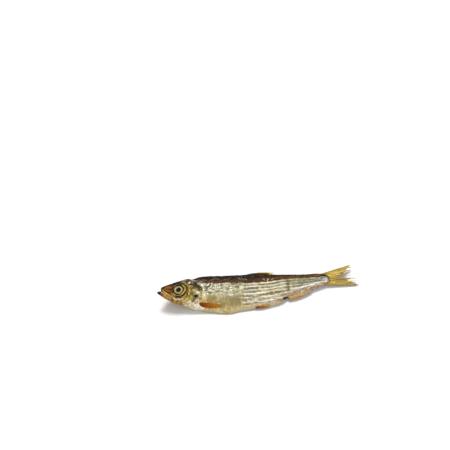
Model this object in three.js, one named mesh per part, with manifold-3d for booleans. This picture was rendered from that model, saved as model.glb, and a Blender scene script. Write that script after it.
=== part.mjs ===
// A dried sprat: one small whole fish, lying on its right side, as it lay to dry.
//
// Lengths are in millimetres. The fish is first made straight, in a frame of its own:
//   s  along it, 0 at the tip of the lower jaw, growing towards the tail
//   d  across it, positive towards the back and negative towards the belly
//   t  through it, positive towards the left side, which lies upwards
// Then the whole fish is curled, leaned over and settled on its right side. In the
// part's frame +X runs from head to tail, +Y is the back's side and +Z is up.

import * as THREE from "three";
import { mergeVertices } from "three/addons/utils/BufferGeometryUtils.js";
import Module from "manifold-3d";

const wasm = await Module();
wasm.setup();

// ---------------------------------------------------------------- driving dimensions

const TRUNK_START = 1.5; // tip of the upper jaw
const HEAD_END = 23; // just behind the gill covers
const TRUNK_END = 88.6; // end of the flesh, above and below
const END_BULGE = 1.6; // how much further its rounded middle reaches into the tail fin
const LEAN = (10 * Math.PI) / 180; // how far the belly's edge hangs below the back's
const HEAD_CURL = 6.4; // how far the snout has dried upwards, off the board
const TAIL_CURL = -2.6; // and the tail's tips, which droop down to it
const CURL_START = [34, 58]; // the stretch between these stations stays straight
const SAG = 0.56; // how far an end that rises also bends towards the belly, as a share
const FLOOR = -3.6; // height of the drying board below the fish's own axis
const SOFTNESS = 0.7; // how gently the flesh flattens against the board
const REST_CUT = 0.2; // depth of the truly flat spot that the fish rests on

// A smooth curve through [place, value] pairs, level with its end values outside them.
function curve(points) {
  const slope = points.map((p, i) => {
    const before = points[Math.max(i - 1, 0)];
    const after = points[Math.min(i + 1, points.length - 1)];
    return (after[1] - before[1]) / (after[0] - before[0]);
  });
  return (x) => {
    if (x <= points[0][0]) return points[0][1];
    if (x >= points.at(-1)[0]) return points.at(-1)[1];
    const i = points.findIndex((p) => p[0] > x) - 1;
    const [x0, y0] = points[i];
    const [x1, y1] = points[i + 1];
    const h = x1 - x0;
    const k = (x - x0) / h;
    return (
      y0 * (1 + 2 * k) * (1 - k) ** 2 +
      slope[i] * h * k * (1 - k) ** 2 +
      y1 * k * k * (3 - 2 * k) +
      slope[i + 1] * h * k * k * (k - 1)
    );
  };
}

const smooth = THREE.MathUtils.smoothstep;
const mix = THREE.MathUtils.lerp;
const bump = (x, centre, reach) => Math.exp(-(((x - centre) / reach) ** 2));

// ---------------------------------------------------------------- trunk and head

// Edge of the back, with the dip at the nape and the low rise under the dorsal fin.
const backLine = curve([
  [1.5, 2],
  [3.6, 2.9],
  [7.8, 4.1],
  [12, 5.2],
  [16, 6],
  [18.6, 5.5],
  [22.4, 6.5],
  [28, 6.6],
  [45, 6.1],
  [51, 6.3],
  [59, 5.2],
  [66, 4.4],
  [76, 3.9],
  [86, 3.6],
  [88.6, 2.9],
]);

// Edge of the belly: the throat, the full belly, the step up at the vent and the stalk.
const bellyLine = curve([
  [1.5, 0.6],
  [3.6, -1.8],
  [7.8, -5.3],
  [12, -8.4],
  [18, -11.3],
  [24.5, -13.2],
  [36.5, -15.6],
  [50.5, -13.7],
  [60, -12.2],
  [64, -10.9],
  [66.6, -9.2],
  [72, -7.7],
  [78, -5.8],
  [83.4, -3.9],
  [88.6, -2.5],
]);

// Half of the greatest thickness. The belly has fallen in a little behind the gills.
const halfThickness = curve([
  [1.5, 0.9],
  [3.6, 1.6],
  [7.8, 2.5],
  [12, 3.1],
  [17, 3.7],
  [21, 3.9],
  [27, 3.8],
  [36, 4.1],
  [47, 3.9],
  [58, 3.3],
  [66, 2.7],
  [76, 2.1],
  [84, 1.6],
  [88.6, 0.9],
]);

// Height of the greatest thickness, as a share of the depth up from the belly's edge,
// and how sharp the keel is: 0 is as round as an ellipse.
const widestAt = curve([
  [1.5, 0.5],
  [12, 0.56],
  [24, 0.62],
  [60, 0.6],
  [88.6, 0.5],
]);
const keel = curve([
  [1.5, 0.1],
  [14, 0.3],
  [30, 0.75],
  [60, 0.7],
  [76, 0.35],
  [88.6, 0],
]);

// Half of the thickness of the bare trunk at station s and height d.
function flank(s, d) {
  const top = backLine(s);
  const bottom = bellyLine(s);
  const middle = mix(bottom, top, widestAt(s));
  const reach = d > middle ? (d - middle) / (top - middle) : (middle - d) / (middle - bottom);
  const rest = Math.max(0, 1 - reach * reach);
  const sharpness = d > middle ? 0 : keel(s) * smooth(reach, 0, 1);
  return halfThickness(s) * rest ** ((1 + sharpness) / 2);
}

// Relief of the dried skin on one side. Long folds run along the rear flank, with one
// crest for each second row of the grid; the front of the flank has shrunk in slanting
// waves, and a crease crosses the side above the vent.
const ROWS = 22; // rows of the grid from the keel to the back, on each side
const FOLD_HEIGHT = 0.2;
const FOLDED_ROWS = [5, 18];
const CREASE = { at: 67.9, width: 0.9, depth: 0.3 };
const WAVES = { height: 0.16, from: 23, to: 48 };

function relief(s, row) {
  const across = smooth(row, FOLDED_ROWS[0] - 3, FOLDED_ROWS[0]) *
    (1 - smooth(row, FOLDED_ROWS[1] - 1, FOLDED_ROWS[1] + 2));
  const along = smooth(s, 36, 47) * (1 - 0.7 * smooth(s, 74, 87));
  const folds = (row % 2 ? 1 : -1) * FOLD_HEIGHT * across * along;
  const crease = -CREASE.depth * across * bump(s, CREASE.at, CREASE.width);
  const front = smooth(s, WAVES.from, WAVES.from + 5) * (1 - smooth(s, WAVES.to - 8, WAVES.to));
  const swell = 0.6 * Math.sin(0.75 * s + 0.8 * row) + 0.4 * Math.sin(0.5 * s - 1.1 * row);
  return folds + crease + WAVES.height * front * across * swell;
}

// A closed solid from rings of [s, d, t] points, all with the same number of points. The
// middle of each end stands out by the given length.
function loft(rings, out = 0) {
  const size = rings[0].length;
  const middleOf = (ring, shift) =>
    ring.reduce((sum, p) => sum.map((x, i) => x + p[i] / size), [shift, 0, 0]);
  const points = [...rings.flat(), middleOf(rings[0], -out), middleOf(rings.at(-1), out)];
  const first = points.length - 2;
  const last = points.length - 1;
  const index = [];
  for (let i = 0; i < size; i++) {
    const next = (i + 1) % size;
    for (let r = 0; r + 1 < rings.length; r++) {
      const a = r * size;
      const b = a + size;
      index.push(a + i, b + i, b + next, a + i, b + next, a + next);
    }
    const end = (rings.length - 1) * size;
    index.push(first, i, next, last, end + next, end + i);
  }
  return solid(points.flat(), index);
}

// A closed solid from coordinates and an index, turned to face outwards.
function solid(coordinates, index) {
  const make = (triVerts) =>
    new wasm.Manifold(
      new wasm.Mesh({
        numProp: 3,
        vertProperties: new Float32Array(coordinates),
        triVerts: new Uint32Array(triVerts),
      }),
    );
  const made = make(index);
  return made.volume() > 0 ? made : make(index.toReversed());
}

// The same from a ready-made geometry, with its corners welded.
function solidOf(geometry) {
  const bare = geometry.clone();
  bare.deleteAttribute("normal");
  bare.deleteAttribute("uv");
  const merged = mergeVertices(bare.index ? bare.toNonIndexed() : bare, 1e-4);
  return solid([...merged.attributes.position.array], [...merged.index.array]);
}

const HEAD_STATIONS = 26;
const TRUNK_STATIONS = 47;
const ROUNDED_TIP = 0.35;

// Height of one row of the grid, as a share of the depth: rows lie closer at the edges.
function rowHeight(row) {
  const u = row / ROWS;
  return mix(u, (1 - Math.cos(Math.PI * u)) / 2, 0.45);
}

function trunk() {
  const stations = [];
  for (let i = 0; i < HEAD_STATIONS; i++)
    stations.push(mix(TRUNK_START, HEAD_END, i / HEAD_STATIONS));
  for (let i = 0; i <= TRUNK_STATIONS; i++)
    stations.push(mix(HEAD_END, TRUNK_END, i / TRUNK_STATIONS));
  return loft(
    stations.map((s) => {
      const ring = [];
      for (let i = 0; i < 2 * ROWS; i++) {
        const side = i < ROWS ? 1 : -1;
        const row = i < ROWS ? i : 2 * ROWS - i;
        const share = rowHeight(row);
        const d = mix(bellyLine(s), backLine(s), share);
        const half = flank(s, d);
        const bulge = END_BULGE * 4 * share * (1 - share) * smooth(s, TRUNK_END - 9, TRUNK_END);
        ring.push([s + bulge, d, half > 0 ? side * (half + relief(s, row)) : 0]);
      }
      return ring;
    }),
    ROUNDED_TIP,
  );
}

// The lower jaw juts out past the upper one and slopes back under it.
const JAW_END = 13;
const jawTop = curve([[0, 0.1], [1.5, 0], [3, -1], [6, -3.2], [9, -5.2], [13, -7.6]]);
const jawBottom = curve([[0, -1], [1.5, -2.3], [3.6, -3.7], [5.7, -5], [9.9, -7.3], [13, -8.8]]);
const jawHalf = curve([[0, 0.6], [1.5, 1.2], [4, 1.7], [9, 1.9], [13, 0.6]]);
const JAW_STATIONS = 12;
const JAW_SIDES = 12;

function lowerJaw() {
  return loft(
    Array.from({ length: JAW_STATIONS + 1 }, (_, i) => {
      const s = (JAW_END * i) / JAW_STATIONS;
      return Array.from({ length: JAW_SIDES }, (_, j) => {
        const a = (2 * Math.PI * j) / JAW_SIDES;
        const d = mix(jawBottom(s), jawTop(s), (1 + Math.cos(a)) / 2);
        return [s, d, jawHalf(s) * Math.sin(a)];
      });
    }),
    ROUNDED_TIP,
  );
}

// Half of the thickness of trunk and jaw together at station s and height d.
function skin(s, d) {
  const reach = (2 * d - jawTop(s) - jawBottom(s)) / (jawTop(s) - jawBottom(s));
  const jaw = s < JAW_END ? jawHalf(s) * Math.sqrt(Math.max(0, 1 - reach * reach)) : 0;
  return Math.max(flank(s, d), jaw);
}

// ---------------------------------------------------------------- shapes laid on the skin

// A rod along a path of [s, d, t] points. Its section is an ellipse, with its half-width
// lying in the fish's side and its half-height standing out of it.
function rod(path, halfWidth, halfHeight, sides = 6) {
  return loft(
    path.map(([s, d, t], i) => {
      const [s0, d0] = path[Math.max(i - 1, 0)];
      const [s1, d1] = path[Math.min(i + 1, path.length - 1)];
      const length = Math.hypot(s1 - s0, d1 - d0);
      const k = i / (path.length - 1);
      return Array.from({ length: sides }, (_, j) => {
        const a = (2 * Math.PI * j) / sides;
        const across = halfWidth(k) * Math.cos(a);
        return [
          s - ((d1 - d0) / length) * across,
          d + ((s1 - s0) / length) * across,
          t + halfHeight(k) * Math.sin(a),
        ];
      });
    }),
  );
}

// A thin plate bedded in the left side. reach(angle) is its edge's distance from its
// middle, and proud(share, angle) is how far it stands out of the skin, where the share
// is 0 at the middle and 1 at the edge.
const PLATE_BEDDING = 0.7;
function plate(middle, turn, reach, proud, sectors = 28, shares = [0.3, 0.6, 0.85, 1]) {
  const points = [];
  const add = (angle, share, out) => {
    const r = share * reach(angle);
    const s = middle[0] + r * Math.cos(angle + turn);
    const d = middle[1] + r * Math.sin(angle + turn);
    points.push(s, d, skin(s, d) + out);
  };
  const sunk = () => -PLATE_BEDDING;
  add(0, 0, proud(0, 0));
  add(0, 0, sunk());
  const layers = [
    ...shares.map((share) => [share, proud]),
    ...shares.toReversed().map((share) => [share, sunk]),
  ];
  for (const [share, out] of layers)
    for (let i = 0; i < sectors; i++) {
      const angle = (2 * Math.PI * i) / sectors;
      add(angle, share, out(share, angle));
    }
  const index = [];
  const at = (layer, i) => 2 + layer * sectors + (i % sectors);
  for (let i = 0; i < sectors; i++) {
    index.push(0, at(0, i), at(0, i + 1));
    for (let k = 0; k + 1 < layers.length; k++)
      index.push(
        ...[at(k, i), at(k + 1, i), at(k + 1, i + 1)],
        ...[at(k, i), at(k + 1, i + 1), at(k, i + 1)],
      );
    index.push(1, at(layers.length - 1, i + 1), at(layers.length - 1, i));
  }
  return solid(points, index);
}

// A thin web of fin in the fish's middle plane, from the outline's [s, d] points.
function web(outline, thickness) {
  const shape = new THREE.Shape(outline.map(([s, d]) => new THREE.Vector2(s, d)));
  const geometry = new THREE.ExtrudeGeometry(shape, { depth: thickness, bevelEnabled: false });
  return solidOf(geometry.translate(0, 0, -thickness / 2));
}

const ellipse = (a, b) => (angle) => (a * b) / Math.hypot(b * Math.cos(angle), a * Math.sin(angle));

// An ellipse's reach from its middle, cut short before the throat's edge.
function insideThroat([s, d], [a, b]) {
  const full = ellipse(a, b);
  const clear = (r, angle) => d + r * Math.sin(angle) > bellyLine(s + r * Math.cos(angle)) + 0.6;
  return (angle) => {
    let r = full(angle);
    while (r > 0.5 && !clear(r, angle)) r -= 0.1;
    return r;
  };
}

const pairOf = (left) => [left, left.mirror([0, 0, 1])];
const onSide = (points, out) => points.map(([s, d]) => [s, d, skin(s, d) + out]);
const taper = (root, tip) => (k) => mix(root, tip, k);

// ---------------------------------------------------------------- head

// The upper jaw's side bone hangs from the snout and widens over the corner of the mouth.
const MAXILLA = [
  [2, 1.2, 0.75], [2.9, -0.4, 1.25], [4.2, -2.1, 1.7], [5.8, -3.7, 1.95], [7.6, -5, 1.9],
];
const MAXILLA_WIDTH = curve([[0, 0.35], [0.7, 0.75], [1, 0.6]]); // half of it, along the bone
const MAXILLA_HEIGHT = 0.42;

// The eye lies in a round socket, ringed by its dried lid, which is open at the front.
const EYE = { s: 10.7, d: -1.2, radius: 2.4, pupil: 1.3 };
const SOCKET_RADIUS = 3;
const LID = { radius: 3.5, halfWidth: 0.42, halfHeight: 0.45, from: -2.5, to: 1.5, steps: 14 };

// A round button in the left side: its middle lies the length out beyond the skin.
function ball(s, d, out, radius, height, detail = 18) {
  const sphere = new THREE.SphereGeometry(1, detail, detail / 2 + 1);
  sphere.rotateX(Math.PI / 2).scale(radius, radius, height);
  return solidOf(sphere.translate(s, d, skin(s, d) + out));
}

const lidPath = Array.from({ length: LID.steps + 1 }, (_, i) => {
  const a = mix(LID.from, LID.to, i / LID.steps);
  return [EYE.s + LID.radius * Math.cos(a), EYE.d + LID.radius * Math.sin(a)];
});

// The gill cover is a thin round plate with a free rear edge, and the cheek's plate
// overlaps its front. Both sink into the face towards the front.
const GILL_COVER = { middle: [14, -4.4], reach: [8.9, 6.2], proud: 0.45 };
const CHEEK = { middle: [12.1, -2.9], reach: [4.8, 5.6], proud: 0.7 };
const FRONT_SUNK = 0.25;
const openBehind = (proud) => (share, angle) =>
  mix(-FRONT_SUNK, proud, mix(0.8, (1 + Math.cos(angle)) / 2, share)) - 0.1 * share;

// ---------------------------------------------------------------- fins

const FIN = 0.42; // thickness of the dried webs
const RAY = { halfHeight: 0.32, root: 0.28, tip: 0.16 };
const ray = (path) => rod(path, taper(RAY.root, RAY.tip), taper(RAY.halfHeight, 0.24));

// Paired fins lie flat on the skin: the pectoral behind the gill cover, the pelvic on
// the belly's edge.
const PECTORAL = { middle: [26.9, -10.9], turn: -0.14, reach: [5.8, 1.45], rays: 5 };
const PELVIC = { middle: [53.9, -12.6], turn: 0.16, reach: [4, 0.85], rays: 3 };
const LEAF_PROUD = 0.3;

function pairedFin({ middle, turn, reach, rays }) {
  const leaf = plate(middle, turn, ellipse(...reach), () => LEAF_PROUD, 24, [0.5, 1]);
  const place = (along, across) => [
    middle[0] + along * Math.cos(turn) - across * Math.sin(turn),
    middle[1] + along * Math.sin(turn) + across * Math.cos(turn),
  ];
  const fan = Array.from({ length: rays }, (_, i) => {
    const spread = (2 * i) / (rays - 1) - 1;
    const path = [-0.92, -0.4, 0.1, 0.5, 0.86].map((k) =>
      place(k * reach[0], 0.7 * spread * reach[1] * Math.sqrt(1 - k * k)),
    );
    return rod(onSide(path, LEAF_PROUD), taper(0.2, 0.12), () => 0.16, 5);
  });
  return [leaf, ...fan];
}

// The dorsal fin has folded down along the back, with its tip free behind.
const DORSAL = [
  [45.5, 5.4], [47.5, 6.4], [52, 6.9], [56.5, 6.8], [61, 6.4], [60.8, 6.1], [58.5, 4.8], [52, 5.4],
];
const DORSAL_RAYS = 6;

// The anal fin is a low strip from the vent to the tail's stalk.
const ANAL = { from: 67.4, to: 80.2, rays: 9 };
const analDepth = curve([[67.4, 0.3], [68.6, 1.3], [74, 1.1], [80.2, 0.5]]);

function analFin() {
  const steps = 10;
  const edge = Array.from({ length: steps + 1 }, (_, i) => {
    const s = mix(ANAL.from, ANAL.to, i / steps);
    return [s, bellyLine(s) - analDepth(s)];
  });
  const bed = edge.toReversed().map(([s]) => [s, bellyLine(s) + 0.8]);
  const rays = Array.from({ length: ANAL.rays }, (_, i) => {
    const s = mix(ANAL.from + 0.8, ANAL.to - 1, i / (ANAL.rays - 1));
    return ray([
      [s - 0.9, bellyLine(s - 0.9) + 0.5, 0],
      [s, bellyLine(s) - 0.5 * analDepth(s), 0],
      [s + 0.7, bellyLine(s + 0.7) - analDepth(s + 0.7) + 0.1, 0],
    ]);
  });
  return [web([...edge, ...bed], FIN), ...rays];
}

function dorsalFin() {
  const rays = Array.from({ length: DORSAL_RAYS }, (_, i) => {
    const s = 47.5 + 1.9 * i;
    const rise = Math.min(6.9, backLine(s + 3) + 0.9);
    return ray([
      [s, backLine(s) - 0.6, 0],
      [s + 1.6, mix(backLine(s), rise, 0.7), 0],
      [s + 3.6, rise - 0.15, 0],
    ]);
  });
  return [web(DORSAL, FIN), ...rays];
}

// The tail fin's two lobes, torn into prongs. Each ray runs from the height of its root
// on the trunk's end to its own tip, and the web reaches a share of the way along it.
const TAIL_ROOT = curve([[-2.9, 86.6], [0.3, 89.6], [3.7, 85.8]]); // station of a root, by height
const UPPER_LOBE = [
  { root: 3.6, tip: [101.9, 7.6], web: 0.98 },
  { root: 3.1, tip: [102, 6.5], web: 0.96 },
  { root: 2.7, tip: [99.8, 5.5], web: 0.95 },
  { root: 2.3, tip: [101.5, 4.65], web: 0.84 },
  { root: 1.9, tip: [98.8, 3.8], web: 0.92 },
  { root: 1.5, tip: [100.8, 2.95], web: 0.8 },
  { root: 1.1, tip: [97.2, 2], web: 0.88 },
  { root: 0.7, tip: [94.7, 0.8], web: 0.9 },
];
const LOWER_LOBE = [
  { root: 0.3, tip: [103.8, -0.3], web: 0.8 },
  { root: -0.3, tip: [99.8, -1.3], web: 0.92 },
  { root: -0.8, tip: [101.8, -1.9], web: 0.92 },
  { root: -1.3, tip: [103.7, -3], web: 0.93 },
  { root: -1.9, tip: [105.5, -4.1], web: 0.96 },
  { root: -2.6, tip: [104, -4.4], web: 0.96 },
];
const TAIL_WEB_NOTCH = 0.08; // how much further the web is torn back between two rays

function lobe(rays) {
  const start = ({ root }) => [TAIL_ROOT(root), root];
  const along = (r, share) => start(r).map((x, i) => mix(x, r.tip[i], share));
  const outline = rays.map((r) => [start(r)[0] - 2.2, r.root * 0.8]);
  const edge = rays.flatMap((r, i) => {
    const next = rays[i + 1];
    if (!next) return [along(r, r.web)];
    const share = Math.min(r.web, next.web) - TAIL_WEB_NOTCH;
    const gap = along(r, share).map((x, k) => (x + along(next, share)[k]) / 2);
    return [along(r, r.web), gap];
  });
  return [
    web([...outline, ...edge.toReversed()], FIN),
    ...rays.map((r) => {
      const [s, d] = start(r);
      return ray([[s - 1.6, 0.85 * d, 0], [...along(r, 0.3), 0], [...along(r, 0.7), 0], [...r.tip, 0]]);
    }),
  ];
}

// ---------------------------------------------------------------- one solid

const socket = pairOf(ball(EYE.s, EYE.d, 0.35, SOCKET_RADIUS, 1.1));
const laidOn = [
  rod(MAXILLA, MAXILLA_WIDTH, () => MAXILLA_HEIGHT, 8),
  ...[GILL_COVER, CHEEK].map(({ middle, reach, proud }) =>
    plate(middle, 0, insideThroat(middle, reach), openBehind(proud), 32),
  ),
];
const lid = rod(onSide(lidPath, 0.18), () => LID.halfWidth, () => LID.halfHeight, 6);
const eye = [
  ball(EYE.s, EYE.d, -0.75, EYE.radius, 1.1),
  ball(EYE.s, EYE.d, 0.1, EYE.pupil, 0.36, 14),
];

const head = wasm.Manifold.union([trunk(), lowerJaw(), ...laidOn.flatMap(pairOf)]);
const straight = wasm.Manifold.union([
  wasm.Manifold.difference([head, ...socket]),
  ...[lid, ...eye, ...pairedFin(PECTORAL), ...pairedFin(PELVIC)].flatMap(pairOf),
  ...dorsalFin(),
  ...analFin(),
  ...lobe(UPPER_LOBE),
  ...lobe(LOWER_LOBE),
]);

// Settles a point of the straight fish on the board: the head curls up and the tail
// droops, the fish leans back, and what would sink into the board is pressed flat.
function settle([s, d, t]) {
  const curl =
    HEAD_CURL * Math.max(0, 1 - s / CURL_START[0]) ** 2 +
    TAIL_CURL * Math.max(0, (s - CURL_START[1]) / (105 - CURL_START[1])) ** 2;
  const across = d - SAG * curl;
  const up = t + curl;
  const y = across * Math.cos(LEAN) - up * Math.sin(LEAN);
  const z = across * Math.sin(LEAN) + up * Math.cos(LEAN) - FLOOR;
  return [s, y, (z + Math.hypot(z, SOFTNESS)) / 2];
}

const settled = straight.simplify(0.035).warp((p) => {
  const [x, y, z] = settle(p);
  p[0] = x;
  p[1] = y;
  p[2] = z;
});
const board = new THREE.BoxGeometry(200, 100, 20).translate(50, 0, REST_CUT - 10);
const pieces = settled.subtract(solidOf(board)).simplify(0.02).decompose();
const rested = pieces.toSorted((a, b) => b.volume() - a.volume())[0]; // without stray specks

// The origin is at the middle of the bounding box, on the board.
const { min, max } = rested.boundingBox();
const mesh = rested.getMesh();
const position = new Float32Array(mesh.numVert * 3);
for (let i = 0; i < mesh.numVert; i++) {
  position[3 * i] = mesh.vertProperties[mesh.numProp * i] - (min[0] + max[0]) / 2;
  position[3 * i + 1] = mesh.vertProperties[mesh.numProp * i + 1] - (min[1] + max[1]) / 2;
  position[3 * i + 2] = mesh.vertProperties[mesh.numProp * i + 2] - min[2];
}
const geometry = new THREE.BufferGeometry();
geometry.setAttribute("position", new THREE.BufferAttribute(position, 3));
geometry.setIndex(new THREE.BufferAttribute(new Uint32Array(mesh.triVerts), 1));
geometry.computeVertexNormals();

const driedSkin = new THREE.MeshStandardMaterial({
  color: 0xab9f7b,
  roughness: 0.4,
  metalness: 0.3,
});
const sprat = new THREE.Mesh(geometry, driedSkin);
sprat.name = "sprat";

const part = new THREE.Group();
part.add(sprat);
export default part;
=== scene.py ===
import math

import bpy
import numpy as np
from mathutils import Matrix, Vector


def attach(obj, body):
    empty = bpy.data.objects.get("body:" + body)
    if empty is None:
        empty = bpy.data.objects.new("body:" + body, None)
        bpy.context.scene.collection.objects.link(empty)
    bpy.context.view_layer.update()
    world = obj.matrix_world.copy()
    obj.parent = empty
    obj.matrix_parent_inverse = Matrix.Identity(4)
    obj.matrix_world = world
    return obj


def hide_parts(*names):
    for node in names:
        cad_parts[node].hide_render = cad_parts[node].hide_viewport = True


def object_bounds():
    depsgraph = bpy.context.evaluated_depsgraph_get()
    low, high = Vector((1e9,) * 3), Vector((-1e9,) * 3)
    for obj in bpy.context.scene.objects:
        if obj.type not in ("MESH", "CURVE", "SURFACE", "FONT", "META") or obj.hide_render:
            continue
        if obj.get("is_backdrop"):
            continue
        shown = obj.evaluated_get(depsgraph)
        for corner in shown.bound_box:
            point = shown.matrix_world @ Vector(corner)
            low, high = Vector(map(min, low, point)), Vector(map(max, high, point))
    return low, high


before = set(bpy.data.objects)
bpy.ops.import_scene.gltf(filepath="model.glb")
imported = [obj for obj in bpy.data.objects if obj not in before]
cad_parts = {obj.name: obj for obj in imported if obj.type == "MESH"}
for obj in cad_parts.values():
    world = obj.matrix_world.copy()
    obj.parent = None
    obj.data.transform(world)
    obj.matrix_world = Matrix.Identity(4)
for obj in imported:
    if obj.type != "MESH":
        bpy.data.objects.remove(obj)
solid_box = [list(corner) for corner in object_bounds()]

# A dried sprat: one small whole fish with its head on, salted and dried on its right side.
# The sections follow the fish from its trunk to its head and then to its fins. Lengths of
# the fish are in millimetres, in a frame of its own, until the fish is settled on the floor:
#   s  along it, 0 at the tip of the lower jaw, growing towards the tail
#   d  across it, positive towards the back and negative towards the belly
#   t  through it, positive towards the left side, which lies upwards

# ------------------------------------------------------------------ camera, light and floor
# The fish is seen from over its belly, at about 50 degrees. A broad soft lamp stands behind
# it, so that its shadow falls to the front and its raised folds shine.

VIEW_AZIMUTH, VIEW_ELEVATION = math.radians(-4.9), math.radians(51)
VIEW_DISTANCE = 0.9
VIEW_WIDTH = 0.23445  # what the square picture takes in, at the fish
VIEW_AIM = Vector((-0.01531, 0.02677, 0.02531))
SENSOR = 36

camera = bpy.data.objects.new("camera", bpy.data.cameras.new("camera"))
bpy.context.scene.collection.objects.link(camera)
towards_camera = Vector((
    math.sin(VIEW_AZIMUTH) * math.cos(VIEW_ELEVATION),
    -math.cos(VIEW_AZIMUTH) * math.cos(VIEW_ELEVATION),
    math.sin(VIEW_ELEVATION),
))
camera.location = VIEW_AIM + VIEW_DISTANCE * towards_camera
camera.rotation_euler = towards_camera.to_track_quat("Z", "Y").to_euler()
camera.data.sensor_width = SENSOR
camera.data.lens = SENSOR * VIEW_DISTANCE / VIEW_WIDTH
camera.data.clip_start = 0.01
bpy.context.scene.camera = camera
bpy.context.scene.view_settings.view_transform = "Standard"

LAMP_ELEVATION, LAMP_DISTANCE, LAMP_SIZE, LAMP_POWER = math.radians(60), 1.3, 0.4, 13
lamp = bpy.data.objects.new("soft_lamp", bpy.data.lights.new("soft_lamp", "AREA"))
bpy.context.scene.collection.objects.link(lamp)
towards_lamp = Vector((-0.12, math.cos(LAMP_ELEVATION), math.sin(LAMP_ELEVATION))).normalized()
lamp.location = LAMP_DISTANCE * towards_lamp
lamp.rotation_euler = towards_lamp.to_track_quat("Z", "Y").to_euler()
lamp.data.size = LAMP_SIZE
lamp.data.energy = LAMP_POWER

sky = bpy.data.worlds.new("studio")
sky.use_nodes = True
sky.node_tree.nodes["Background"].inputs["Color"].default_value = (1, 1, 1, 1)
sky.node_tree.nodes["Background"].inputs["Strength"].default_value = 0.6
bpy.context.scene.world = sky

floor_mesh = bpy.data.meshes.new("floor")
floor_mesh.from_pydata([(-3, -3, 0), (3, -3, 0), (3, 3, 0), (-3, 3, 0)], [], [(0, 1, 2, 3)])
floor = bpy.data.objects.new("floor", floor_mesh)
bpy.context.scene.collection.objects.link(floor)
paper = bpy.data.materials.new("white_paper")
paper.use_nodes = True
paper.node_tree.nodes["Principled BSDF"].inputs["Base Color"].default_value = (0.9, 0.9, 0.9, 1)
paper.node_tree.nodes["Principled BSDF"].inputs["Roughness"].default_value = 0.9
floor_mesh.materials.append(paper)
floor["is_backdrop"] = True

# ------------------------------------------------------------------ trunk
# The whole trunk under its dried skin, from the snout to the root of the tail. It has
# shrunk over the flesh as it dried: in long folds over the rear flank, in slanting waves
# behind the head, and smooth and dark along the back.

TRUNK_START = 2.0
TRUNK_END = 88.6
END_BULGE = 1.6  # how much further the rounded middle of the end reaches
ROUNDED_TIP = 0.35
LEAN = math.radians(10)  # how far the belly's edge hangs below the back's
HEAD_CURL, HEAD_CURL_FROM = 6.4, 34  # how far the snout has dried upwards
TAIL_CURL, TAIL_CURL_FROM = -2.6, 58  # and the tail's tips, which droop
SAG = 0.56  # how far an end that rises also bends towards the belly, as a share
FLOOR = -3.6  # height of the floor below the fish's own axis
SOFTNESS = 0.7  # how gently the flesh flattens against the floor
REST_CUT = 0.2
BOX_MIDDLE = (52.5848, -3.044)  # the middle of the settled fish's box
MM = 0.001


def line_through(*places):
    """A smooth line through (place, value) pairs, level with its end values outside them."""
    x, y = np.array(places, float).T
    before = np.r_[0, 0 : len(x) - 1]
    after = np.r_[1 : len(x), len(x) - 1]
    slope = (y[after] - y[before]) / (x[after] - x[before])

    def at(place):
        place = np.clip(place, x[0], x[-1])
        i = np.clip(np.searchsorted(x, place, side="right") - 1, 0, len(x) - 2)
        h = x[i + 1] - x[i]
        k = (place - x[i]) / h
        return (
            y[i] * (1 + 2 * k) * (1 - k) ** 2
            + slope[i] * h * k * (1 - k) ** 2
            + y[i + 1] * k * k * (3 - 2 * k)
            + slope[i + 1] * h * k * k * (k - 1)
        )

    return at


def mix(a, b, share):
    return a + (b - a) * share


def ramp(x, start, end):
    """Rises smoothly from 0 at start to 1 at end."""
    k = np.clip((x - start) / (end - start), 0, 1)
    return k * k * (3 - 2 * k)


def hill(x, middle, reach):
    return np.exp(-(((x - middle) / reach) ** 2))


def dapple(x, y, seed):
    """Random swells between -1 and 1, about one to each unit of x and y."""
    lattice = np.random.default_rng(seed).uniform(-1, 1, (67, 67))
    i, j = np.floor(x).astype(int), np.floor(y).astype(int)
    u, v = ramp(x - i, 0, 1), ramp(y - j, 0, 1)
    corner = lambda a, b: lattice[a % 67, b % 67]
    return mix(
        mix(corner(i, j), corner(i + 1, j), u),
        mix(corner(i, j + 1), corner(i + 1, j + 1), u),
        v,
    )


back_line = line_through(
    (1.5, 2), (3.6, 2.9), (7.8, 4.1), (12, 5.2), (16, 6), (18.6, 5.5), (22.4, 6.5), (28, 6.6),
    (36, 6.2), (45, 6.0), (51, 6.3), (59, 5.3), (66, 4.7), (76, 4.0), (86, 3.8), (88.6, 2.9),
)
belly_line = line_through(
    (1.5, 0.6), (3.6, -1.8), (7.8, -5.5), (12, -8.8), (18, -11.6), (24.5, -13.3),
    (35.5, -15.5), (42.5, -14.4), (50.5, -13.6), (60, -12.5), (64, -11), (66.6, -9.2), (72, -7.7),
    (78, -5.8), (83.4, -3.9), (88.6, -2.5),
)
half_thickness = line_through(
    (1.5, 0.9), (3.6, 1.6), (7.8, 2.5), (12, 3.1), (17, 3.7), (21, 3.9), (27, 3.8), (36, 4.1),
    (47, 3.9), (58, 3.3), (66, 2.7), (76, 2.1), (84, 1.6), (88.6, 0.9),
)
widest_at = line_through((1.5, 0.5), (12, 0.56), (24, 0.62), (60, 0.6), (88.6, 0.5))
keel_sharpness = line_through((1.5, 0.1), (14, 0.3), (30, 0.75), (60, 0.7), (76, 0.35), (88.6, 0))


def flank(s, d):
    """Half of the trunk's thickness at station s and height d."""
    top, bottom = back_line(s), belly_line(s)
    middle = mix(bottom, top, widest_at(s))
    reach = np.where(d > middle, (d - middle) / (top - middle), (middle - d) / (middle - bottom))
    sharpness = np.where(d > middle, 0, keel_sharpness(s) * ramp(reach, 0, 1))
    return half_thickness(s) * np.maximum(0, 1 - reach**2) ** ((1 + sharpness) / 2)


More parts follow.
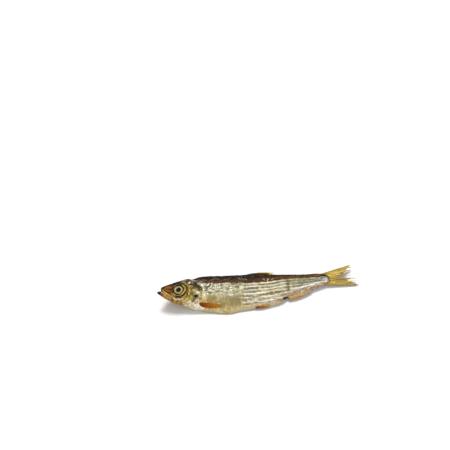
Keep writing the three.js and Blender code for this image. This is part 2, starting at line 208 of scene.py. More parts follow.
def settle(s, d, t):
    """Lays the fish on the floor: the points' places in the model, in metres."""
    curl = HEAD_CURL * np.maximum(0, 1 - s / HEAD_CURL_FROM) ** 2
    curl = curl + TAIL_CURL * np.maximum(0, (s - TAIL_CURL_FROM) / (105 - TAIL_CURL_FROM)) ** 2
    across = d - SAG * curl
    up = t + curl
    y = across * math.cos(LEAN) - up * math.sin(LEAN)
    z = across * math.sin(LEAN) + up * math.cos(LEAN) - FLOOR
    z = np.maximum((z + np.hypot(z, SOFTNESS)) / 2 - REST_CUT, 0)
    return np.stack([s - BOX_MIDDLE[0], y - BOX_MIDDLE[1], z], -1) * MM


def fish_piece(name, place, faces, finish, **values):
    """A mesh object from (n, 3) places in the fish's frame. Each value is kept on the mesh:
    numbers as they are and triples as colours."""
    mesh = bpy.data.meshes.new(name)
    points = settle(*np.asarray(place, float).T)
    corners = points[[f[:3] for f in faces]]
    volume = np.einsum("ij,ij->i", corners[:, 0], np.cross(corners[:, 1], corners[:, 2])).sum()
    if volume < 0:
        faces = [f[::-1] for f in faces]
    mesh.from_pydata(points.tolist(), [], faces)
    mesh.attributes.new("place", "FLOAT_VECTOR", "POINT").data.foreach_set(
        "vector", np.asarray(place, np.float32).ravel()
    )
    for key, value in values.items():
        value = np.asarray(value, np.float32)
        if value.ndim == 1:
            mesh.attributes.new(key, "FLOAT", "POINT").data.foreach_set("value", value)
        else:
            colour = np.c_[np.clip(value, 0.003, 1), np.ones(len(value), np.float32)]
            mesh.attributes.new(key, "FLOAT_COLOR", "POINT").data.foreach_set(
                "color", colour.astype(np.float32).ravel()
            )
    mesh.materials.append(finish)
    mesh.shade_smooth()
    piece = bpy.data.objects.new(name, mesh)
    bpy.context.scene.collection.objects.link(piece)
    return piece


def tube_faces(rings, around, first=0):
    """Faces of a closed tube of rings, with a pole at each end, after the rings' points."""
    i = np.arange(around)
    after = (i + 1) % around
    faces = []
    for r in range(rings - 1):
        a = first + r * around
        b = a + around
        faces += np.stack([a + i, b + i, b + after, a + after], -1).tolist()
    start, end = first + rings * around, first + rings * around + 1
    last = first + (rings - 1) * around
    faces += np.stack([np.full(around, start), first + i, first + after], -1).tolist()
    faces += np.stack([np.full(around, end), last + after, last + i], -1).tolist()
    return faces


TONE = {
    "silver_olive": (0.51, 0.475, 0.30),
    "grey_olive": (0.24, 0.25, 0.16),
    "golden_olive": (0.36, 0.28, 0.11),
    "butter": (0.64, 0.505, 0.205),
    "cream": (0.86, 0.75, 0.46),
    "white": (0.93, 0.90, 0.81),
    "beige": (0.60, 0.48, 0.32),
    "pink": (0.66, 0.47, 0.33),
    "gold": (0.48, 0.29, 0.045),
    "yellow": (0.66, 0.50, 0.13),
    "orange": (0.45, 0.17, 0.015),
    "rust": (0.22, 0.075, 0.012),
    "brown": (0.085, 0.038, 0.012),
    "umber": (0.12, 0.08, 0.03),
    "ash": (0.42, 0.41, 0.37),
    "green": (0.13, 0.125, 0.02),
    "plum": (0.04, 0.026, 0.018),
    "smoke": (0.18, 0.14, 0.105),
    "ink": (0.012, 0.009, 0.007),
    "blue": (0.42, 0.47, 0.52),
    "slate": (0.035, 0.04, 0.05),
}


def toned(tint, *layers):
    """Lays tones over the tint, each (share, tone), as far as each point's share says."""
    for share, tone in layers:
        tint = tint + np.asarray(share)[:, None] * (np.array(TONE[tone]) - tint)
    return tint


def from_oval(s, d, at_s, at_d, along, across, turn):
    """How far out each point lies in a turned oval: 0 at its middle, 1 at its edge."""
    x, y = s - at_s, d - at_d
    u = (x * math.cos(turn) + y * math.sin(turn)) / along
    v = (y * math.cos(turn) - x * math.sin(turn)) / across
    return np.hypot(u, v)


def stained(tint, s, d, *stains):
    """Lays soft ragged ovals over the tint, each (tone, s, d, reach along, reach across,
    turn, strength)."""
    ragged = 0.28 * dapple(s / 0.8, d / 0.7, 5) + 0.16 * dapple(s / 0.35, d / 0.3, 6)
    for tone, *oval, strength in stains:
        out = from_oval(s, d, *oval) + ragged
        tint = toned(tint, (strength * (1 - ramp(out, 0.55, 1.2)), tone))
    return tint


band_line = line_through(  # the lower edge of the dark back
    (16, 2.6), (20, 1.9), (24.7, 1.1), (36.1, 0.1), (42, -0.4), (46.2, -0.9), (57, -0.5),
    (67.8, 0.7), (78, 0.9), (85.9, 1.2), (90, 1.6),
)
FOLD_SPACING, FOLD_HEIGHT = 2.05, 0.24
WRINKLE_SPACING, WRINKLE_HEIGHT = 1.35, 0.15
CREASE_AT, CREASE_WIDTH, CREASE_DEPTH = 67.9, 0.9, 0.3
EYE_S, EYE_D = 10.7, -1.2
FAR_SHIFT = 4.3  # mm that the right side's marks lie further on
FAR_PAINTED_SHEEN = 0.25  # how strongly the grey streaks of painted sheen on the back show on the right side
SOCKET = 3.0
GILL_MIDDLE, GILL_REACH = (14, -4.4), (8.9, 6.2)


def wrinkle(x, y, seed):
    """Thin wandering lines, 1 along each line's middle and 0 away from it."""
    return 1 - ramp(np.abs(dapple(x, y, seed)), 0.02, 0.24)


def skin_relief(s, d, share, side):
    """How far the dried skin stands out, and its painted light: where its colour gets painted
    highlight (above 0) or painted shade (below). The share is 0 at the belly's edge and 1 at the
    back's."""
    seed = 20 if side > 0 else 60
    on_flank = ramp(share, 0.09, 0.2) * (1 - ramp(share, 0.8, 0.91))
    body = ramp(s, 22, 25)
    # long folds that keep to the back and close up a little towards the tail
    level = (band_line(s) - d) * (13 / (band_line(s) - belly_line(s))) ** 0.35
    folded = ramp(s, 38, 49) * (1 - 0.4 * ramp(s, 67, 71)) * on_flank
    wander = 0.62 * dapple(s / 10, level / 3, seed) + 0.2 * dapple(s / 2.8, level / 1.3, seed + 1)
    wave = np.cos(2 * np.pi * (level + wander) / FOLD_SPACING)
    whole = ramp(dapple(s / 4.5, level / 1.2, seed + 2), -0.7, 0.3)
    deep = ramp(dapple(s / 3.6, level / 1.0, seed + 11), -0.5, 0.6)
    fold = np.maximum(wave, 0) ** 2.4 * mix(0.25, 1.15, whole)
    fold = fold - np.maximum(-wave, 0) ** 1.3 * mix(0.25, 1.15, deep)
    fine = np.cos(2 * np.pi * (level + 0.35 * dapple(s / 3, level, seed + 3)) / 0.72)
    fine = fine * ramp(dapple(s / 2.4, level / 0.8, seed + 15), -0.4, 0.4)
    # short slanting wrinkles behind the gill cover, and wavy ones after them
    front = ramp(s, 23, 25) * (1 - ramp(s, 41, 50)) * on_flank
    upper = ramp(d, -6.4, -4.0)
    slant = 0.88 * s - 0.48 * d + 1.5 * dapple(s / 3.2, d / 2.2, seed + 4)
    hatch = np.cos(2 * np.pi * slant / WRINKLE_SPACING)
    hatch *= ramp(dapple(s / 1.9, d / 1.5, seed + 5), -0.7, 0.1)
    hatch *= (1 - ramp(s, 30, 35)) * ramp(d, -4.6, -2.6)
    patch = 0.9 * dapple(s / 1.5, (d + 0.1 * s) / 0.5, seed + 6)
    patch += 0.85 * dapple(s / 0.6, d / 0.33, seed + 12)
    patch *= upper
    lines = wrinkle(s / 4.5, d / 1.15 + 0.3 * np.sin(0.8 * s), seed + 13)
    lines *= ramp(s, 27, 31)
    lines *= ramp(d, -6, -4.2)
    lines *= ramp(dapple(s / 2.5, d / 1.5, seed + 14), -0.5, 0.3)
    mottle = dapple(s / 0.6, d / 0.5, seed + 7) + 0.8 * dapple(s / 1.4, d / 1.0, seed + 8)
    crease = on_flank * hill(s, CREASE_AT + 0.1 * (d + 2), CREASE_WIDTH) * ramp(d, -7, -5)
    ridge = dapple(s / 1.5, d / 0.9, seed + 9) + 0.5 * dapple(s / 0.6, d / 0.5, seed + 10)
    ridge = 0.10 * ridge * ramp(share, 0.77, 0.86)
    relief = FOLD_HEIGHT * fold * folded + 0.025 * fine * folded + ridge - CREASE_DEPTH * crease
    relief = relief + WRINKLE_HEIGHT * front * (0.8 * hatch + patch + 0.8 * lines)
    # shine is painted light: painted highlight on the crests of folds and wrinkles, painted shade
    # in their hollows and in the crease, with some random mottle
    shine = (fold - 0.05 + 0.55 * fine) * folded - 0.9 * crease
    shine = shine + front * (0.75 * hatch + 1.15 * patch + 0.9 * lines - 0.08) + 0.34 * mottle
    shine *= body * (1 - ramp(d - band_line(s), -0.3, 0.4))
    return relief * body + 0.035 * mottle * mix(0.5, 1, body), shine


def in_plate(s, d, middle, reach):
    """How far out each point lies in a plate's oval: 0 at its middle, 1 at its edge."""
    return np.hypot((s - middle[0]) / reach[0], (d - middle[1]) / reach[1])


def face_relief(s, d):
    """The forms of the head: eye sockets, the snout's two swellings and the gill's opening."""
    from_eye = np.hypot(s - EYE_S, d - EYE_D)
    relief = -1.15 * (1 - ramp(from_eye, SOCKET - 0.3, SOCKET + 0.1))
    for *oval, height in (
        (5.3, 1.0, 2.4, 0.85, 0.28, 0.28),
        (5.2, -1.1, 2.1, 0.9, -0.5, 0.30),
        (13.5, 3.4, 3.4, 0.7, 0.2, 0.22),
        (17.0, 2.6, 1.5, 0.8, 0.1, 0.22),
    ):
        relief = relief + height * (1 - ramp(from_oval(s, d, *oval), 0.2, 1.1))
    at_cover = in_plate(s, d, GILL_MIDDLE, GILL_REACH)
    opening = hill(at_cover, 1.035, 0.045) * ramp(s, 15, 18) * mix(0.25, 1, ramp(d, -5, -2.5))
    return relief - 0.4 * opening


STATIONS, ROWS, CAP_RINGS = 436, 104, 6
stations = np.linspace(TRUNK_START, TRUNK_END, STATIONS)
cap_turn = np.linspace(0, np.pi / 2, CAP_RINGS + 1)[1:-1]
ring_s = np.r_[np.full(len(cap_turn), TRUNK_START), stations, np.full(len(cap_turn), TRUNK_END)]
ring_turn = np.r_[-cap_turn[::-1], np.zeros(STATIONS), cap_turn]
around_u = np.r_[np.arange(ROWS + 1), np.arange(ROWS - 1, 0, -1)] / ROWS
around_side = np.r_[np.ones(ROWS + 1), -np.ones(ROWS - 1)]
share = mix(around_u, (1 - np.cos(np.pi * around_u)) / 2, 0.45)
S0, U = np.meshgrid(ring_s, around_u, indexing="ij")
SHARE = share[None, :] + 0 * S0
SHRINK = np.cos(ring_turn)[:, None]
D0 = mix(belly_line(S0), back_line(S0), SHARE)
T0 = flank(S0, D0) * around_side[None, :] * SHRINK
SHARE = 0.5 + (SHARE - 0.5) * SHRINK
D0 = mix(belly_line(S0), back_line(S0), SHARE)
bulge = END_BULGE * 4 * SHARE * (1 - SHARE) * ramp(S0, TRUNK_END - 9, TRUNK_END)
S1 = S0 + bulge + ROUNDED_TIP * np.sin(ring_turn)[:, None]
base = np.stack([S1, D0, T0], -1)
normal = np.cross(np.roll(base, -1, 1) - np.roll(base, 1, 1), np.gradient(base, axis=0))
normal /= np.linalg.norm(normal, axis=-1, keepdims=True) + 1e-9
if (normal[STATIONS // 2, ROWS // 2, 2]) < 0:
    normal = -normal
# The second value of skin_relief is kept as the trunk's painted light: painted highlight and
# painted shade over its folds.
relief, painted_light_grid = np.zeros_like(S0), np.zeros_like(S0)
for side in (1, -1):
    half = around_side == side
    here = np.ix_(np.arange(len(ring_s)), half)
    relief[here], painted_light_grid[here] = skin_relief(S1[here], D0[here], U[here], side)
relief += face_relief(S1, D0) * (np.abs(T0) > 0.3)
relief *= np.minimum(1, SHRINK**2)
trunk_place = (base + relief[..., None] * normal).reshape(-1, 3)
poles = [trunk_place[: 2 * ROWS].mean(0), trunk_place[-2 * ROWS :].mean(0)]
poles[0][0] = TRUNK_START - ROUNDED_TIP
poles[1][0] = TRUNK_END + END_BULGE + ROUNDED_TIP
trunk_place = np.vstack([trunk_place, poles])
trunk_lift = np.r_[painted_light_grid.ravel(), 0, 0]


def trunk_tint(s, d, t):
    """The colours of the dried skin, over both sides. The right side's marks lie further on."""
    s = s + FAR_SHIFT * ramp(-t, 0, 0.8) * ramp(s, 20, 26) * (1 - ramp(s, 70, 80))
    tint = np.tile(TONE["silver_olive"], (len(s), 1))
    edge = d - belly_line(s)
    tint = toned(
        tint,
        (0.4 * ramp(d, -3, -0.5), "grey_olive"),
        (0.3 * ramp(s, 42, 50) * (1 - ramp(s, 66, 74)), "cream"),
        (0.85 * (1 - ramp(edge, 5, 9)) * (1 - ramp(s, 40, 50)), "golden_olive"),
        (0.9 * (1 - ramp(edge, 1.2, 4.5)) * (1 - ramp(s, 42, 52)), "butter"),
        (0.6 * (1 - ramp(edge, 0.3, 2.0)) * (1 - ramp(s, 56, 62)), "butter"),
        (0.75 * hill(s, 47, 10) * (1 - ramp(edge, 1.2, 3.2)), "beige"),
        (0.65 * ramp(s, 68, 74) * ramp(d, -3.4, -1.8), "grey_olive"),
    )
    fleck = ramp(dapple(s / 0.7, d / 0.4, 39), 0.0, 0.5)
    tint = toned(tint, (0.9 * fleck * ramp(s, 74, 80) * ramp(d, -2.4, -1.4), "slate"))
    fleck = ramp(dapple(s / 0.5, d / 0.4, 40), 0.2, 0.6)
    tint = toned(
        tint,
        (0.6 * fleck * ramp(s, 76, 82) * ramp(d, -2.6, -1.6), "white"),
        (0.8 * ramp(s, 63, 67) * (1 - ramp(edge, 0.8, 3.4)), "pink"),
    )
    fleck = ramp(dapple(s / 1.6, (d - 0.1 * s) / 0.35, 42), 0.1, 0.6)
    tint = toned(tint, (0.6 * fleck * ramp(s, 66, 70) * (1 - ramp(edge, 1.2, 3)), "rust"))
    fleck = ramp(dapple(s / 0.45, d / 0.4, 33), 0.2, 0.7)
    tint = toned(tint, (0.7 * fleck * ramp(s, 50, 60) * (1 - ramp(edge, 1.5, 4)), "white"))
    fleck = ramp(dapple(s / 0.5, d / 0.35, 34), 0.35, 0.8)
    tint = toned(tint, (0.7 * fleck * ramp(s, 63, 68) * (1 - ramp(edge, 1.5, 4)), "plum"))
    fleck = ramp(dapple(s / 0.8, d / 0.6, 35), 0.25, 0.8)
    tint = toned(tint, (0.6 * fleck * (1 - ramp(s, 46, 56)) * (1 - ramp(edge, 3, 6)), "cream"))
    # The long thin white streaks in this list, from s 37.9 to 80 along the middle and lower flank,
    # are painted highlights: the shine along the skin's folds.
    tint = stained(
        tint, s, d,
        ("cream", 23.6, -5.2, 1.3, 3.2, 0.08, 0.85),
        ("butter", 23.9, -8.6, 1.2, 1.6, 0.2, 0.7),
        ("white", 23.3, -0.2, 0.55, 1.1, 0.5, 0.9),
        ("white", 23.8, -2.6, 0.5, 0.9, -0.2, 0.8),
        ("white", 29.2, -0.8, 1.6, 0.5, 0.3, 0.6),
        ("white", 31.9, -3.2, 3.2, 0.4, 0.1, 0.7),
        ("grey_olive", 26, -1.5, 1.8, 0.9, 0.8, 0.9),
        ("grey_olive", 29.2, -2.2, 1.4, 0.7, 0.8, 0.8),
        ("grey_olive", 33.6, -2.4, 1.4, 0.6, 0.5, 0.7),
        ("white", 37.9, -6.7, 1.5, 0.5, 0.06, 1),
        ("golden_olive", 27.6, -7.8, 2.6, 2.4, 0, 0.85),
        ("gold", 26.6, -8.8, 1.6, 1.4, 0, 0.4),
        ("golden_olive", 36.5, -9.6, 5.6, 2.8, -0.1, 0.6),
        ("grey_olive", 39.5, -8.4, 2.6, 1.4, 0.3, 0.5),
        ("orange", 42.5, -5.2, 2.2, 0.3, 0.1, 0.25),
        ("yellow", 44, -6.4, 3, 0.4, 0.14, 0.5),
        ("white", 47.5, -5.9, 2.2, 0.45, 0.14, 0.8),
        ("white", 48.4, -10.1, 3.9, 0.55, 0.03, 1),
        ("yellow", 45, -9.9, 1.2, 0.4, -0.4, 0.7),
        ("white", 57, -10.2, 4.6, 0.45, 0.16, 0.95),
        ("white", 54.5, -6.7, 4, 0.4, 0, 1),
        ("gold", 58, -7.3, 7.5, 0.5, 0.02, 0.8),
        ("brown", 61, -7.7, 3.6, 0.2, 0.03, 0.6),
        ("grey_olive", 48.4, -4.1, 3.4, 0.9, 0, 0.8),
        ("slate", 46.6, -4.5, 1.6, 0.25, 0.3, 0.6),
        ("slate", 50.2, -3.7, 1.3, 0.25, -0.2, 0.7),
        ("blue", 48, -5, 2, 0.3, 0.1, 0.7),
        ("grey_olive", 52, -8.6, 3.2, 0.6, 0, 0.6),
        ("rust", 63.2, -10.6, 1.7, 0.8, 0.45, 0.6),
        ("white", 60.6, -9.3, 2.4, 0.3, 0.2, 0.8),
        ("pink", 60.5, -11.4, 2.6, 0.6, 0.2, 0.7),
        ("ink", 66.1, -9.2, 1.9, 0.6, 0.35, 1),
        ("white", 72, -4.7, 4.6, 0.4, 0.12, 0.95),
        ("white", 80, -2.9, 7, 0.55, 0.22, 1),
        ("plum", 73.4, -6, 1.6, 0.3, 0.3, 0.6),
        ("grey_olive", 73.5, -2.6, 4.6, 0.9, 0.1, 0.8),
        ("green", 68.4, -2, 0.8, 2, 0.1, 0.6),
        ("golden_olive", 72.3, -1.3, 3, 0.7, 0, 0.6),
        ("grey_olive", 82.5, 0.3, 4, 1, 0, 0.7),
        ("orange", 88.6, -2.4, 2, 0.55, 0.1, 1),
        ("orange", 82, -3.9, 3.4, 0.35, 0.24, 0.6),
        ("pink", 84, -3.2, 3, 0.4, 0.24, 0.6),
    )
    above = d - band_line(s) + 0.4 * dapple(s / 1.8, d / 1.2, 31)
    above += 0.25 * dapple(s / 0.6, d / 0.5, 32)
    behind_nape = ramp(s, 16.5, 19.5)
    tint = toned(
        tint,
        (ramp(above, -0.3, 0.35) * behind_nape, "brown"),
        (0.6 * ramp(above, 0.8, 2.0) * (1 - ramp(s, 45, 60)) * behind_nape, "plum"),
        (0.85 * ramp(above, 1.7, 3.4) * behind_nape, "ink"),
        (ramp(d - back_line(s), -2.2, -1.0) * behind_nape, "ink"),
    )
    over = np.where(t > 0, d, 2 * back_line(s) - d)  # runs on over the back to the right side
    # Grey flecks over the dark back: painted sheen.
    fleck = ramp(dapple(s / 0.9, over / 0.4, 36), 0.3, 0.9) * ramp(above, 0.2, 0.8)
    tint = toned(tint, (0.3 * fleck * behind_nape, "smoke"))
    fleck = ramp(dapple(s / 1.4, over / 0.5, 37), 0.2, 0.8) * ramp(above, 0, 0.4)
    fleck *= 1 - ramp(above, 1, 2)
    tint = toned(tint, (0.3 * fleck * behind_nape * ramp(s, 21, 24), "rust"))
    fleck = ramp(dapple(s / 0.7, over / 0.35, 38), 0.25, 0.8) * ramp(above, 0.1, 0.5)
    tint = toned(
        tint,
        (0.06 * fleck * ramp(s, 46, 54) * (1 - ramp(d - back_line(s), -1.6, -0.8)), "beige"),
    )
    tint = stained(
        tint, s, d,
        ("rust", 28.8, 1.4, 1.6, 0.35, -0.05, 0.5),
        ("rust", 42, 0.7, 2.4, 0.35, 0, 0.55),
        ("rust", 56, 1.5, 5, 0.6, 0.05, 0.25),
        ("rust", 81, 2.3, 5, 0.5, 0.02, 0.45),
        ("orange", 83.4, 2.2, 2.2, 0.35, 0.05, 0.5),
        ("beige", 55.6, 1.2, 1, 0.25, -0.9, 0.6),
        ("cream", 57.6, 0.9, 0.9, 0.3, 1.3, 0.7),
        ("beige", 60, 1.2, 1.1, 0.25, 0.9, 0.4),
        ("rust", 63.4, 1.8, 3, 0.4, 0.05, 0.6),
        ("rust", 72.2, 2.3, 4, 0.35, 0.05, 0.6),
        ("slate", 84.6, 1.3, 1.7, 0.5, 0.3, 0.6),
        # painted highlight on the rounded end of the stalk, bluish and white
        ("blue", 88, 0.3, 1.5, 1.3, 0.5, 0.85),
        ("white", 88.4, -0.9, 0.7, 1, -0.4, 0.9),
        ("slate", 86.2, 0.6, 0.6, 0.8, -0.3, 0.5),
        ("slate", 90.5, 0.6, 1.3, 2.8, 0.1, 1),
        ("slate", 89, 2.3, 1.6, 0.6, -0.5, 0.9),
        ("brown", 86.5, 3.1, 2.6, 0.8, -0.1, 0.9),
    )
    # Near-black in the groove of the gill's opening behind the cover, fainter below: painted shade
    # in the slit.
    at_cover = in_plate(s, d, GILL_MIDDLE, GILL_REACH)
    opening = hill(at_cover, 1.03, 0.06) * ramp(s, 16, 18)
    tint = toned(
        tint,
        (0.95 * opening * ramp(d, -4.5, -2.5), "plum"),
        (0.12 * opening * (1 - ramp(d, -4.5, -2.5)), "smoke"),
    )
    head = 1 - ramp(s, 17.5, 19.5)
    tint = toned(tint, (head, "umber"))
    tint = stained(
        tint, s, d,
        ("golden_olive", 9, -5.2, 6, 2.2, -0.5, 0.9),
        ("cream", 17.5, -9.8, 7, 3.2, -0.42, 1),
        ("white", 18.4, -10.4, 5.4, 1.8, -0.35, 0.85),
        ("gold", 15.4, -10.3, 1, 0.35, -0.4, 0.7),
        ("orange", 12.2, -8.6, 0.9, 0.3, -0.4, 0.7),
        ("brown", 5.4, 0.2, 4.6, 3.4, -0.2, 1),
        ("orange", 5, 1.1, 1.7, 0.4, 0.28, 0.5),
        ("orange", 6.4, 0.8, 1.1, 0.45, 0.2, 0.8),
        ("rust", 4.2, 0.1, 1.6, 0.5, 0.1, 0.8),
        ("orange", 5.3, -1, 1.6, 0.5, -0.5, 0.5),
        ("rust", 6.8, -2, 1.6, 1.1, -0.5, 0.95),
        ("gold", 7.3, -2.7, 0.6, 0.3, -0.8, 0.8),
        ("golden_olive", 13.2, 2.6, 2, 0.8, 0.3, 0.9),
        ("brown", 15.8, 3.4, 1.6, 0.7, 0.2, 0.8),
        ("ink", 2.2, 1.9, 1.6, 0.9, 0.5, 1),
        ("ink", 8.2, -0.6, 0.7, 2.4, 0, 0.95),
        ("ink", 10.7, -1.2, 2.9, 2.9, 0, 1),
        ("grey_olive", 14, 4.6, 1.8, 0.6, 0.15, 0.9),
        ("ink", 9.6, 2.9, 3.4, 1.3, 0.2, 1),
        ("ink", 9.5, 4.6, 8.5, 0.75, 0.22, 1),
        ("brown", 16.4, 4.7, 1, 1, 0, 0.8),
        # painted highlight on the nape
        ("white", 16.6, 2, 0.8, 0.5, 0.7, 1),
        ("ink", 17.2, 1, 0.8, 0.4, 0.3, 0.9),
        ("beige", 19, 2, 1, 0.4, 0, 0.6),
        ("plum", 19.9, 1.4, 1.6, 0.6, -0.6, 1),
        ("plum", 21.6, -0.8, 1.4, 0.6, -1, 0.95),
        ("green", 22.8, -1.4, 0.6, 0.9, 0, 0.8),
    )
    # Grey and ash streaks over the nape and along the back: painted sheen, shown fully on the left
    # side and faintly on the right.
    sheen_streaked = stained(
        tint, s, d,
        ("ash", 17.9, 4.7, 0.9, 0.6, -0.8, 0.85),
        ("ash", 19.6, 3.3, 1.7, 0.35, -0.25, 0.7),
        ("ash", 22.6, 2.5, 1.8, 0.3, -0.1, 0.5),
        ("smoke", 21.2, 2.8, 1.2, 0.4, -0.2, 0.7),
        ("smoke", 24.6, 3.2, 1.5, 0.4, -0.3, 0.6),
        ("smoke", 28.6, 3, 2.4, 0.5, 0.3, 0.7),
        ("smoke", 31.4, 3.3, 1.4, 0.4, -0.4, 0.6),
        ("smoke", 36.2, 2.6, 2.6, 0.35, 0.2, 0.6),
        ("ash", 43, 2.3, 1.3, 0.4, -0.9, 0.35),
        ("ash", 44.5, 2.2, 1.3, 0.4, -0.9, 0.35),
        ("ash", 46.1, 2, 1.2, 0.4, -0.9, 0.35),
    )
    return mix(tint, sheen_streaked, np.where(t > 0, 1, FAR_PAINTED_SHEEN)[:, None])


def node_adder(tree):
    """A call that adds a node to the tree, with its inputs set or linked, and one that only
    sets or links them."""

    def feed(node, inputs):
        for key, value in inputs.items():
            if isinstance(value, bpy.types.NodeSocket):
                tree.links.new(value, node.inputs[key])
            else:
                node.inputs[key].default_value = value

    def add(kind, inputs=None, **settings):
        node = tree.nodes.new(kind if "Node" in kind else "ShaderNode" + kind)
        for key, value in settings.items():
            setattr(node, key, value)
        feed(node, inputs or {})
        return node

    return add, feed


def new_finish(name, shine):
    """A material, and calls to add nodes to it, to blend two colours, to spread a value over
    a range, to add fine noise, and to finish its surface."""
    material = bpy.data.materials.new(name)
    material.use_nodes = True
    add, feed = node_adder(material.node_tree)

    def blend(share, a, b, mode="MIX"):
        node = add("Mix", data_type="RGBA", blend_type=mode)
        node.inputs[0].default_value = 1
        feed(node, {0: share, 6: a, 7: b})
        return node.outputs[2]

    def spread(value, low, high, to_low=0.0, to_high=1.0):
        node = add("MapRange", {"Value": value, "From Min": low, "From Max": high})
        feed(node, {"To Min": to_low, "To Max": to_high})
        return node.outputs["Result"]

    def noise(vector, scale, detail=3):
        node = add("TexNoise", {"Vector": vector, "Scale": scale, "Detail": detail})
        return node.outputs["Fac"]

    def surface(colour, roughness, height, strength, depth):
        bump = add("Bump", {"Height": height, "Strength": strength, "Distance": depth})
        feed(material.node_tree.nodes["Principled BSDF"], {
            "Base Color": colour,
            "Roughness": roughness,
            "Specular IOR Level": shine,
            "Normal": bump.outputs["Normal"],
        })
        return material

    return add, blend, spread, noise, surface


def skin_finish(name, highlight_paint, shade_paint, gloss=(0.36, 0.6), shine=0.08, heights=(0.05, 0.2)):
    """Dried skin: its own tints, with painted highlight on the crests and painted shade in the
    hollows, finely speckled.
    """
    add, blend, spread, noise, surface = new_finish(name, shine)
    own = add("TexCoord").outputs["Object"]
    tint = add("Attribute", attribute_name="tint").outputs["Color"]
    lift = add("Attribute", attribute_name="lift").outputs["Fac"]
    place = add("Attribute", attribute_name="place").outputs["Vector"]
    speckle, patch = noise(own, 2300), noise(own, 700, 2)
    along = add("Mapping", {"Vector": place, "Scale": (0.35, 2.4, 2.4)}).outputs["Vector"]
    streak = noise(along, 1, 4)
    dull = blend(spread(speckle, 0.3, 0.7), (0.62, 0.62, 0.64, 1), (1.3, 1.28, 1.24, 1))
    colour = blend(1.0, tint, dull, "MULTIPLY")
    shade = blend(spread(patch, 0.32, 0.68), (0.78, 0.78, 0.78, 1), (1.2, 1.19, 1.16, 1))
    colour = blend(1.0, colour, shade, "MULTIPLY")
    # Painted shade where the painted-light value is low, painted highlight where it is high.
    low = spread(lift, -heights[0], -heights[1], 0, 0.8)
    colour = blend(low, colour, shade_paint)
    high = spread(lift, *heights)
    lit = add("Math", {0: high, 1: spread(streak, 0.38, 0.52)}, operation="MULTIPLY")
    colour = blend(lit.outputs[0], colour, highlight_paint)
    rough = add("Math", {0: speckle, 1: streak}, operation="ADD").outputs[0]
    return surface(colour, spread(speckle, 0.3, 0.7, *gloss), rough, 0.5, 0.00012)


silver_skin = skin_finish(
    "dried_silver_skin", (0.93, 0.91, 0.82, 1), (0.11, 0.105, 0.06, 1), shine=0.03,
    heights=(0.22, 0.72),
)
trunk_skin = fish_piece(
    "trunk_skin",
    trunk_place,
    tube_faces(len(ring_s), 2 * ROWS),
    silver_skin,
    tint=trunk_tint(*trunk_place.T),
    lift=trunk_lift,
)
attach(trunk_skin, "root")
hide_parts("sprat")

# ------------------------------------------------------------------ lower jaw
# The jaw juts out past the snout, with its blunt tip dried black. It is two thin bones
# under tan skin, joined at the tip, and its lower edge has gone orange and rusty.

JAW_END = 13
JAW_RINGS, JAW_AROUND = 96, 44
jaw_top = line_through((0, 0.1), (1.5, 0), (3, -1), (6, -3.2), (9, -5.2), (13, -7.6))
jaw_bottom = line_through((0, -1), (1.5, -2.4), (3.6, -4.1), (5.7, -5.6), (9.9, -7.9), (13, -8.9))
jaw_half = line_through((0, 0.6), (1.5, 1.2), (4, 1.7), (9, 1.9), (13, 0.5))


def skin(s, d):
    """Half of the thickness of the trunk and the jaw together, at station s and height d."""
    reach = (2 * d - jaw_top(s) - jaw_bottom(s)) / (jaw_top(s) - jaw_bottom(s))
    jaw = np.where(s < JAW_END, jaw_half(s) * np.sqrt(np.maximum(0, 1 - reach**2)), 0)
    return np.maximum(flank(s, d), jaw)


def capped(rings, out):
    """Closes a stack of rings with rounded ends that stand out by the given lengths along s."""
    turn = np.linspace(0, np.pi / 2, 6)[1:-1]
    stack = list(rings)
    for end, reach in ((0, -out[0]), (-1, out[1])):
        ring = rings[end]
        middle = ring.mean(0)
        for a in turn:
            cap = middle + (ring - middle) * math.cos(a) + [reach * math.sin(a), 0, 0]
            stack.insert(0 if end == 0 else len(stack), cap)
    tips = [rings[0].mean(0) - [out[0], 0, 0], rings[-1].mean(0) + [out[1], 0, 0]]
    place = np.vstack([np.concatenate(stack), tips])
    return place, tube_faces(len(stack), len(rings[0]))


jaw_s, jaw_a = np.meshgrid(
    np.linspace(0, JAW_END, JAW_RINGS),
    np.linspace(0, 2 * np.pi, JAW_AROUND, endpoint=False),
    indexing="ij",
)
jaw_lip = 0.10 * hill(jaw_a, 0.5, 0.25) + 0.10 * hill(jaw_a, 2 * np.pi - 0.5, 0.25)
jaw_lift = 0.08 * dapple(jaw_s / 1.1, 2.2 * jaw_a, 101) + 0.05 * dapple(jaw_s / 0.5, 5 * jaw_a, 102)
jaw_lift -= 0.14 * hill(np.minimum(jaw_a, 2 * np.pi - jaw_a), 1.35, 0.2) * ramp(jaw_s, 2, 4)
jaw_swell = (1 + (jaw_lift + jaw_lip) / 1.6) * np.ones_like(jaw_s)
jaw_middle = (jaw_top(jaw_s) + jaw_bottom(jaw_s)) / 2
jaw_rings = np.stack([
    jaw_s,
    jaw_middle + (jaw_top(jaw_s) - jaw_middle) * np.cos(jaw_a) * jaw_swell,
    jaw_half(jaw_s) * np.sin(jaw_a) * jaw_swell,
], -1)
jaw_place, jaw_faces = capped(jaw_rings, (ROUNDED_TIP, 0.2))
js, jd = jaw_place.T[:2]
jaw_depth = (jd - jaw_bottom(js)) / (jaw_top(js) - jaw_bottom(js))
jaw_tint = toned(
    (0.60, 0.41, 0.17),
    (0.5 * ramp(jaw_depth, 0.3, 0.7), "golden_olive"),
    (0.85 * (1 - ramp(jaw_depth, 0.05, 0.28)), "orange"),
)
